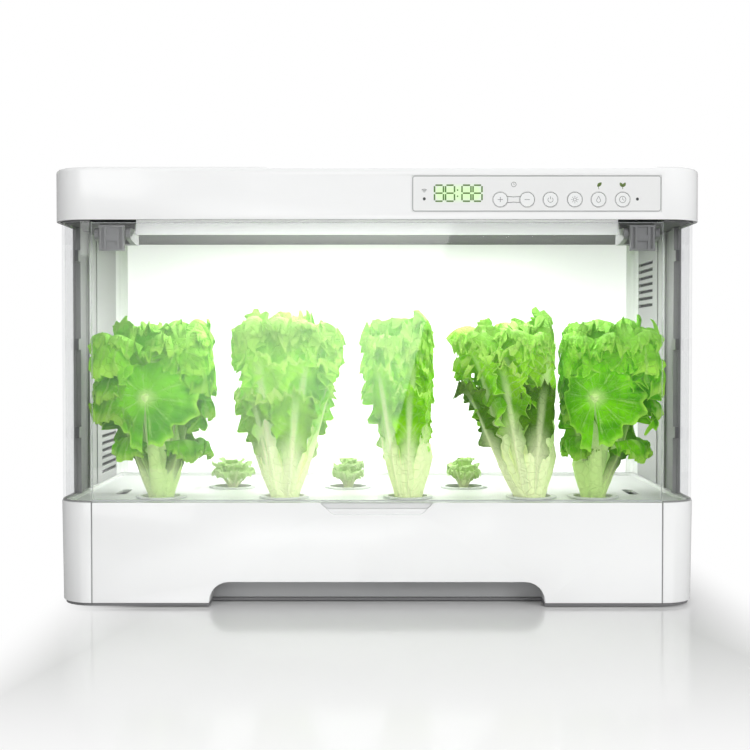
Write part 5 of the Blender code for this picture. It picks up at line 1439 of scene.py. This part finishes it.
# %% Points of a leaf
def leaf_points(across, along, foot, room, height, leaf):
    """Where the points of a leaf's grid go, in metres."""
    kind, turn, reach, high, spread, cup, frill, seed = leaf
    edge = np.sin(across * math.pi / 2)
    rim = np.abs(edge)
    share = np.clip(along * (1 - 0.16 * edge**2 * along), 0, 1)
    angle = math.tau * turn
    far = room_edge(room, np.array(angle)) * reach
    (out, up), (run_out, run_up) = spine_at(kind, share)
    out, run_out = out * far, run_out * far
    up, run_up = up * height * high, run_up * height * high
    length = np.hypot(run_out, run_up) + 1e-9
    inward, upward = -run_up / length, run_out / length
    stops, widths = zip(*OUTLINES[kind])
    body = np.clip((along - 0.20) / 0.3, 0, 1)
    scallop = 1 + body * rim**3 * (
        0.08 * np.sin(math.tau * 5.2 * along + 1.9 * seed + np.sign(edge))
        + 0.05 * np.sin(math.tau * 10.6 * along + 3.7 * seed))
    half = spread * np.interp(share, stops, widths) * scallop
    curl = cup * np.clip((share - 0.25) / 0.5, 0, 1)
    turned_by = np.where(np.abs(curl) > 1e-4, curl, 1e-4)
    side = half * np.sin(turned_by * edge) / turned_by
    lift = half * (1 - np.cos(turned_by * edge)) / turned_by
    proud = lift + frill * body * ruffles(edge, along, seed)
    out = out + inward * proud
    z = up + upward * proud - DROOPS[kind] * height * high * body * share * edge**2
    bend = 0.16 * spread * np.sin(seed * 2.1) * along**2
    x = out * math.cos(angle) - (side + bend) * math.sin(angle)
    y = out * math.sin(angle) + (side + bend) * math.cos(angle)
    x, y, z = inside_room(x, y, z, room, height, seed)
    return np.stack([foot[0] + x, foot[1] + y, foot[2] + z], 1)


# %% [markdown]
# ## Thickness and painted light and shade
# A leaf is thick at its rib and foot, and paper thin at its margin. A vertex group carries that
# to the Solidify modifier. Leaves deep in a head are in shade, so each point also gets a tone of
# painted light and shade, stored as an attribute that the finish reads.

# %% Thickness and painted light and shade
def thin_shell(sheet, thickness, weights, thinnest):
    """Gives a sheet its thickness: full where a weight is 1, and thinnest where it is 0."""
    group = sheet.vertex_groups.new(name="rib")
    for index, weight in enumerate(weights):
        group.add([index], float(weight), "REPLACE")
    shell = sheet.modifiers.new("thickness", "SOLIDIFY")
    shell.thickness = thickness
    shell.offset = 0
    shell.vertex_group = "rib"
    shell.thickness_vertex_group = thinnest / thickness
    apply_all(sheet)
    sheet.vertex_groups.clear()


def paint_light_and_shade(sheet, tone, foot=None, room=None):
    """Stores a leaf's painted light and shade: 0 is painted deep shade, 1 is painted pale. Deep in
    a head it is painted darker.
    """
    values = np.full(len(sheet.data.vertices), tone, float)
    if foot is not None:
        at = np.zeros(len(values) * 3)
        sheet.data.vertices.foreach_get("co", at)
        x, y = at[0::3] - foot[0], at[1::3] - foot[1]
        depth = np.hypot(x, y) / room_edge(room, np.arctan2(y, x))
        values -= 0.34 * np.clip((0.80 - depth) / 0.5, 0, 1)
    tones = sheet.data.attributes.new("leaf_light_and_shade", "FLOAT", "POINT")
    tones.data.foreach_set("value", np.clip(values, 0, 1))


MARGIN_THICKNESS = 0.45 * MM


def grow_leaf(foot, room, height, leaf, tone, rib_thickness, columns, rows):
    """One leaf as a closed thin shell: thick at its rib and foot, and paper thin at its margin."""
    sheet = shaped_grid(
        "leaf", columns, rows,
        lambda across, along: leaf_points(across, along, foot, room, height, leaf),
    )
    across = np.tile(np.linspace(-1, 1, columns + 1), rows + 1)
    along = np.repeat(np.linspace(0, 1, rows + 1), columns + 1)
    thick = np.clip(1 - np.abs(across) * (1.1 + 2.4 * along), 0, 1)
    thick = thick * np.clip(1.25 - 1.5 * along, 0, 1)
    thin_shell(sheet, rib_thickness, thick, MARGIN_THICKNESS)
    paint_light_and_shade(sheet, tone, foot, room)
    return sheet


# %% [markdown]
# ## The broad leaf in front
# The round heads turn one broad leaf to the viewer, with its veins fanning out from a pale heart.
# A grid whose columns run round the heart and whose rows run outwards has its veins along the
# rows for free. The margin is thrown into lobes, and the lower ones hang forward over the stem.

# %% Broad leaf
FAN_COLUMNS, FAN_ROWS = 120, 20
STEM_COLUMNS, STEM_ROWS = 8, 24


def grow_fan(foot, room, height, heart, sizes, finish, seed, tone):
    """A round blade about its heart, and the stem that carries it. sizes: left, right, up, down."""
    left, right, up, down = sizes

    def blade(across, along):
        turn = across * math.pi * 0.975
        radius = 0.03 + 0.97 * along
        lobes = 1 + (
            0.09 * np.sin(4 * turn + seed) + 0.06 * np.sin(9 * turn + 2 * seed)
            + 0.05 * np.sin(19 * turn + 3 * seed)) * along**2
        span_x = np.where(turn > 0, right, left) * lobes
        span_z = np.where(np.cos(turn) > 0, up, down) * lobes
        x = heart[0] + radius * span_x * np.sin(turn)
        z = heart[2] + radius * span_z * np.cos(turn)
        fold = (
            4.0 * np.sin(4 * turn + seed) * along**1.5
            + 4.5 * np.sin(9 * turn + 2.1 * seed) * along**2.5
            + 3.4 * np.sin(21 * turn + 3.3 * seed) * along**4) * MM
        lean = np.where(np.cos(turn) > 0, 0.50, 0.10) * (z - heart[2])
        dished = 7 * MM * np.sin(along * math.pi) * 0.6
        y = heart[1] + fold + lean - dished + 9 * MM * along**2 * np.sin(turn) ** 2
        x, y, z = inside_room(x, y, z, room, height, seed)
        return np.stack([foot[0] + x, foot[1] + y, foot[2] + z], 1)

    def stem(across, along):
        width = (6.5 - 3.0 * along) * MM * across
        x = heart[0] * along**1.5 + width
        y = -9 * MM * (1 - along) + heart[1] * along**0.8
        z = 3 * MM + (heart[2] - 3 * MM) * along
        return np.stack([foot[0] + x, foot[1] + y + 1.5 * MM * across**2, foot[2] + z], 1)

    blade_sheet = shaped_grid("fan_blade", FAN_COLUMNS, FAN_ROWS, blade)
    along = np.repeat(np.linspace(0, 1, FAN_ROWS + 1), FAN_COLUMNS + 1)
    thin_shell(blade_sheet, 2.2 * MM, np.clip(1 - 2.2 * along, 0, 1), 0.5 * MM)
    stem_sheet = shaped_grid("fan_stem", STEM_COLUMNS, STEM_ROWS, stem)
    crowned = 1 - np.linspace(-1, 1, STEM_COLUMNS + 1) ** 2 * 0.8
    thin_shell(stem_sheet, 4.0 * MM, np.tile(crowned, STEM_ROWS + 1), 0.8 * MM)
    for corner in stem_sheet.data.uv_layers[0].data:
        corner.uv = (corner.uv[0], corner.uv[1] * 0.02)
    for part in (blade_sheet, stem_sheet):
        paint_light_and_shade(part, tone)
        part.data.materials.clear()
        part.data.materials.append(finish)
    return [blade_sheet, stem_sheet]


# %% [markdown]
# ## Turned shapes
# A stalk, a sponge and a screw head are all turned: a profile of radii and heights goes round an
# axis. A grid does that too, with its columns round the axis and its rows up the profile. Its seam
# is then merged and its two ends are filled.

# %% Turned shapes
def turned(name, profile, middle, sides=28, fluting=0.0, flutes=5):
    """A closed turned shape from radius and height pairs, with shallow flutes."""
    heights = np.array([z for _, z in profile])
    radii = np.array([r for r, _ in profile])
    steps = np.linspace(0, 1, len(profile))

    def place(across, along):
        angle = across * math.pi
        radius = np.interp(along, steps, radii) * (1 + fluting * np.cos(flutes * angle))
        return np.stack([
            middle[0] + radius * np.cos(angle), middle[1] + radius * np.sin(angle),
            np.interp(along, steps, heights),
        ], 1)

    shape = shaped_grid(name, sides, len(profile) - 1, place)
    bpy.ops.object.mode_set(mode="EDIT")
    bpy.ops.mesh.select_mode(type="VERT")
    bpy.ops.mesh.select_all(action="SELECT")
    bpy.ops.mesh.remove_doubles(threshold=0.000005)
    bpy.ops.mesh.select_all(action="DESELECT")
    bpy.ops.mesh.select_non_manifold()
    bpy.ops.mesh.fill_holes(sides=0)
    bpy.ops.mesh.select_all(action="SELECT")
    bpy.ops.mesh.normals_make_consistent(inside=False)
    bpy.ops.object.mode_set(mode="OBJECT")
    return shape


# %% [markdown]
# ## Screws in the back
# The rear panel is held by six small pan head screws with a crossed recess. One is turned, cut by
# a cross of two blocks, laid over to face backwards and copied to the five other places.

# %% Six screws
screw = turned("screw", [
    (0.2 * MM, -0.3 * MM), (3.0 * MM, -0.3 * MM), (3.0 * MM, 0.35 * MM), (2.5 * MM, 0.95 * MM),
    (1.5 * MM, 1.3 * MM), (0.2 * MM, 1.35 * MM)], (0, 0), sides=32)
cross = join("cross", [
    cutter_box((-1.7 * MM, -0.35 * MM, 0.5 * MM), (1.7 * MM, 0.35 * MM, 2 * MM)),
    cutter_box((-0.35 * MM, -1.7 * MM, 0.5 * MM), (0.35 * MM, 1.7 * MM, 2 * MM))])
recess = screw.modifiers.new("recess", "BOOLEAN")
recess.operation, recess.solver, recess.object = "DIFFERENCE", "EXACT", cross
apply_all(screw)
bpy.data.objects.remove(cross)
screw.rotation_euler = (math.radians(-90), 0, 0)
rear_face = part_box("rear_panel")[1].y
SCREW_X, SCREW_Z = (-250, 250), (101, 211, 321)
screws = []
for x in SCREW_X:
    for z in SCREW_Z:
        copy = screw if not screws else screw.copy()
        if screws:
            copy.data = screw.data.copy()
            bpy.context.scene.collection.objects.link(copy)
        copy.location = (x * MM, rear_face, z * MM)
        screws.append(copy)
settle(join("rear_screws", screws), "cabinet", aluminium.material, smooth=30)
print("rear screws:", len(screws))

# %% [markdown]
# ## Growing a head of lettuce
# A head is a short stalk, a growing sponge below it, and a table of leaves: outer ones that arch
# and droop, then upright ones that crowd into a ruffled crown. The same function grows all five
# heads, from a table for the round kind and one for the tall kind. The room and the height of each
# come from its measured solid, so the outline stays the solid's.

# %% Stalk and sponge
PLANT_CUPS = {"lettuce_1": "1", "seedling_1": "2", "lettuce_2": "3", "seedling_2": "4",
              "lettuce_3": "5", "seedling_3": "6", "lettuce_4": "7", "lettuce_5": "8"}
STALK_PROFILE = ((0, 0.1), (0, 0.78), (0.06, 0.86), (0.2, 1.0), (0.42, 1.28), (0.66, 1.5),
                 (0.86, 1.36), (1.0, 0.8), (1.04, 0.1))


def plug_and_stalk(node, foot, stalk_radius, stalk_height):
    """The growing sponge in the net cup and the fluted stalk above it."""
    low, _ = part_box(node)
    cup_low, cup_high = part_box("net_cup_" + PLANT_CUPS[node])
    cup_radius = (cup_high.x - cup_low.x) / 2 * 0.68
    plug_top = foot[2]
    plug = turned("plug", [
        (1.0 * MM, low.z), (cup_radius * 0.80, low.z), (cup_radius * 0.84, low.z + 2 * MM),
        (cup_radius * 0.98, plug_top - 2.5 * MM), (cup_radius * 0.93, plug_top - 0.3 * MM),
        (cup_radius * 0.55, plug_top), (1.0 * MM, plug_top),
    ], foot)
    stalk = turned("stalk", [
        (stalk_radius * share, foot[2] - 2 * MM + stalk_height * up) for up, share in STALK_PROFILE
    ], foot, fluting=0.09, flutes=7)
    return plug, stalk


# %% Grow a plant
GRIDS = {"crown": (36, 34), "curl": (32, 20)}
FULL_ROOM = 100 * MM


def grow_plant(node, finish, leaves, stalk, rib_thickness, grid, fans=()):
    """Grows a plant inside its measured solid's box and lets it stand for that node."""
    low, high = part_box(node)
    cup_low, cup_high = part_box("net_cup_" + PLANT_CUPS[node])
    foot = ((cup_low.x + cup_high.x) / 2, (cup_low.y + cup_high.y) / 2, cup_high.z - 2.6 * MM)
    room = (foot[0] - low.x, high.x - foot[0], foot[1] - low.y, high.y - foot[1])
    height = high.z - foot[2]
    plug, stem = plug_and_stalk(node, foot, *stalk)
    parts = [stem]
    paint_light_and_shade(stem, 0.5)
    for corner in stem.data.uv_layers[0].data:
        corner.uv = (0.5 + (corner.uv[0] - 0.5) * 0.5, corner.uv[1] * 0.2)
    slim = min(1.0, (room[0] + room[1]) / FULL_ROOM)
    for kind, turn, reach, high, spread, cup, frill, seed, tone in leaves:
        spread = spread if kind == "sprout" else spread * slim
        leaf = (kind, turn, reach, high, spread, cup, frill, seed)
        columns, rows = GRIDS.get(kind, grid)
        parts.append(grow_leaf(foot, room, height, leaf, tone, rib_thickness, columns, rows))
    for part in parts:
        part.data.materials.clear()
        part.data.materials.append(finish)
    plug.data.materials.append(sponge.material)
    for heart, sizes, seed, tone in fans:
        parts += grow_fan(foot, room, height, heart, sizes, fan_leaf, seed, tone)
    plant = join(node + "_grown", parts + [plug])
    settle(plant, NODES[node]["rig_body"], smooth=80)
    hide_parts(node)
    return plant


# %% [markdown]
# ## Tables of leaves
# A head is written as a few layers from the outside in. Each layer gives the kind of leaf, how
# many there are, where the first one stands, and their size and their tone of painted light and
# shade. A sine of a running seed makes every leaf a little different, and the same in each run.

# %% Layers to leaves
OPEN_TOWARDS, OPEN_HALF = 0.75, 0.09


def layered(layers, shift=0.0, open_front=False, paler=0.0):
    """Leaves from layers: kind, count, first turn, reach, height, half width, cup, frill, tone of
    painted light and shade; paler shifts that tone.
    """
    leaves = []
    for level, (kind, count, first, reach, high, spread, cup, frill, tone) in enumerate(layers):
        for number in range(count):
            seed = 1.7 * number + 2.3 * level + 0.9 + 9 * shift
            turn = first + shift + (number + 0.26 * math.sin(3.1 * seed)) / count
            if kind == "fan" and open_front and abs(turn % 1 - OPEN_TOWARDS) < OPEN_HALF:
                continue
            leaves.append((
                kind, turn, reach * (1 + 0.09 * math.sin(5 * seed)),
                high * (1 + 0.055 * math.sin(7 * seed)),
                spread * (1 + 0.12 * math.sin(6 * seed)) * MM, cup, frill * MM, seed,
                tone + paler + 0.14 * math.sin(4 * seed),
            ))
    return leaves


# %% The five heads
# The last column is the painted light and shade: outer, lower leaves darker, the crown paler.
ROUND_LAYERS = [
    ("low", 5, 0.62, 0.86, 0.40, 20, -0.5, 4.0, 0.42),
    ("fan", 6, 0.83, 1.02, 0.62, 30, -0.6, 7.0, 0.24),
    ("fan", 7, 0.00, 1.03, 0.80, 29, -0.4, 8.0, 0.42),
    ("fan", 6, 0.06, 1.03, 0.93, 28, -0.3, 8.5, 0.54),
    ("crown", 6, 0.04, 1.00, 0.92, 27, 0.1, 9.0, 0.56),
    ("crown", 3, 0.15, 0.62, 0.97, 26, 0.4, 9.0, 0.66),
    ("curl", 9, 0.08, 1.00, 0.99, 17, -0.3, 6.5, 0.72),
]
ROUND_FANS = [
    ((-6.5 * MM, -47 * MM, 95 * MM), (34 * MM, 46 * MM, 32 * MM, 44 * MM), 1.3, 0.50),
    ((24 * MM, -38 * MM, 136 * MM), (26 * MM, 28 * MM, 24 * MM, 22 * MM), 4.1, 0.70),
]
TALL_LAYERS = [
    ("blade", 5, 0.05, 0.94, 0.60, 21, 0.2, 6.2, 0.22),
    ("blade", 7, 0.00, 0.98, 0.80, 24, 0.3, 7.0, 0.40),
    ("blade", 6, 0.63, 0.92, 0.92, 25, 0.4, 7.2, 0.54),
    ("crown", 7, 0.10, 0.96, 0.90, 24, 0.1, 8.5, 0.56),
    ("crown", 5, 0.20, 0.66, 0.95, 23, 0.4, 9.0, 0.62),
    ("curl", 9, 0.05, 0.98, 0.99, 16, -0.3, 6.5, 0.70),
]

ROUND_STALK, ROUND_RIB, ROUND_GRID = (12 * MM, 48 * MM), 4.5 * MM, (28, 44)
TALL_STALK, TALL_RIB, TALL_GRID = (14 * MM, 60 * MM), 8 * MM, (28, 46)
# The last number of each tall head shifts its painted light and shade: lettuce_2 and lettuce_3 are
# painted paler, lettuce_4 darker.
TALL_HEADS = (("lettuce_2", 0.0, 0.24), ("lettuce_3", 0.05, 0.22), ("lettuce_4", -0.04, -0.20))

for node in ("lettuce_1", "lettuce_5"):
    leaves = layered(ROUND_LAYERS, open_front=True)
    plant = grow_plant(
        node, round_leaf, leaves, ROUND_STALK, ROUND_RIB, ROUND_GRID, ROUND_FANS)
    print(plant.name, len(plant.data.polygons), "faces")
for node, shift, paler in TALL_HEADS:
    leaves = layered(TALL_LAYERS, shift, paler=paler)
    plant = grow_plant(node, tall_leaf, leaves, TALL_STALK, TALL_RIB, TALL_GRID)
    print(plant.name, len(plant.data.polygons), "faces")

# %% [markdown]
# ## Seedlings
# The three seedlings are a month behind: a thin stem and a few notched leaves, about three
# centimetres tall. They are grown by the same function with fewer, smaller leaves.

# %% The three seedlings
SPROUT_LAYERS = [
    ("sprout", 6, 0.00, 1.12, 0.70, 10.5, -0.4, 2.2, 0.50),
    ("sprout", 5, 0.09, 0.90, 0.94, 10.0, -0.2, 2.2, 0.56),
    ("sprout", 3, 0.30, 0.50, 1.02, 6.5, 0.4, 1.2, 0.62),
]
SPROUT_STALK, SPROUT_RIB, SPROUT_GRID = (3.6 * MM, 12 * MM), 1.6 * MM, (16, 26)
# The seedlings are painted a little paler too: painted light.
for number in (1, 2, 3):
    leaves = layered(SPROUT_LAYERS, 0.11 * number, paler=0.22)
    plant = grow_plant(
        f"seedling_{number}", sprout_leaf, leaves, SPROUT_STALK, SPROUT_RIB, SPROUT_GRID)
    print(plant.name, len(plant.data.polygons), "faces")

# %% [markdown]
# ## Light under the hood
# The lamp is on in the portrait: the back wall glows and the leaves are lit from above. A
# rectangular light just under the diffuser, as large as the opening, does what the board of
# diodes behind it does.

# %% Grow lamp
GROW_SIZE, GROW_WATTS = (0.38, 0.12), 1.25
diffuser_low, diffuser_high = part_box("lamp_diffuser")
lamp_x = (diffuser_low.x + diffuser_high.x) / 2
lamp_y = (diffuser_low.y + diffuser_high.y) / 2
lamp_z = diffuser_low.z - 1.5 * MM
grow_lamp = softbox(
    "grow_lamp", (lamp_x, lamp_y, lamp_z), (lamp_x, lamp_y, 0.1), GROW_SIZE, GROW_WATTS)
print(grow_lamp.name, "hangs at", round(lamp_z, 4), "m")

# %% [markdown]
# ## Sizes
# Looks must not change the size of the garden. The box of the measured model, kept from the start,
# and the box of the dressed one are set side by side.

# %% The two boxes side by side
def as_lists(value):
    """A vector, or a pair of them, as plain lists of numbers."""
    return [as_lists(item) for item in value] if hasattr(value, "__len__") else float(value)


dressed_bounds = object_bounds()
{"solid": as_lists(solid_bounds), "dressed": as_lists(dressed_bounds)}
print("dressed", dressed_bounds)
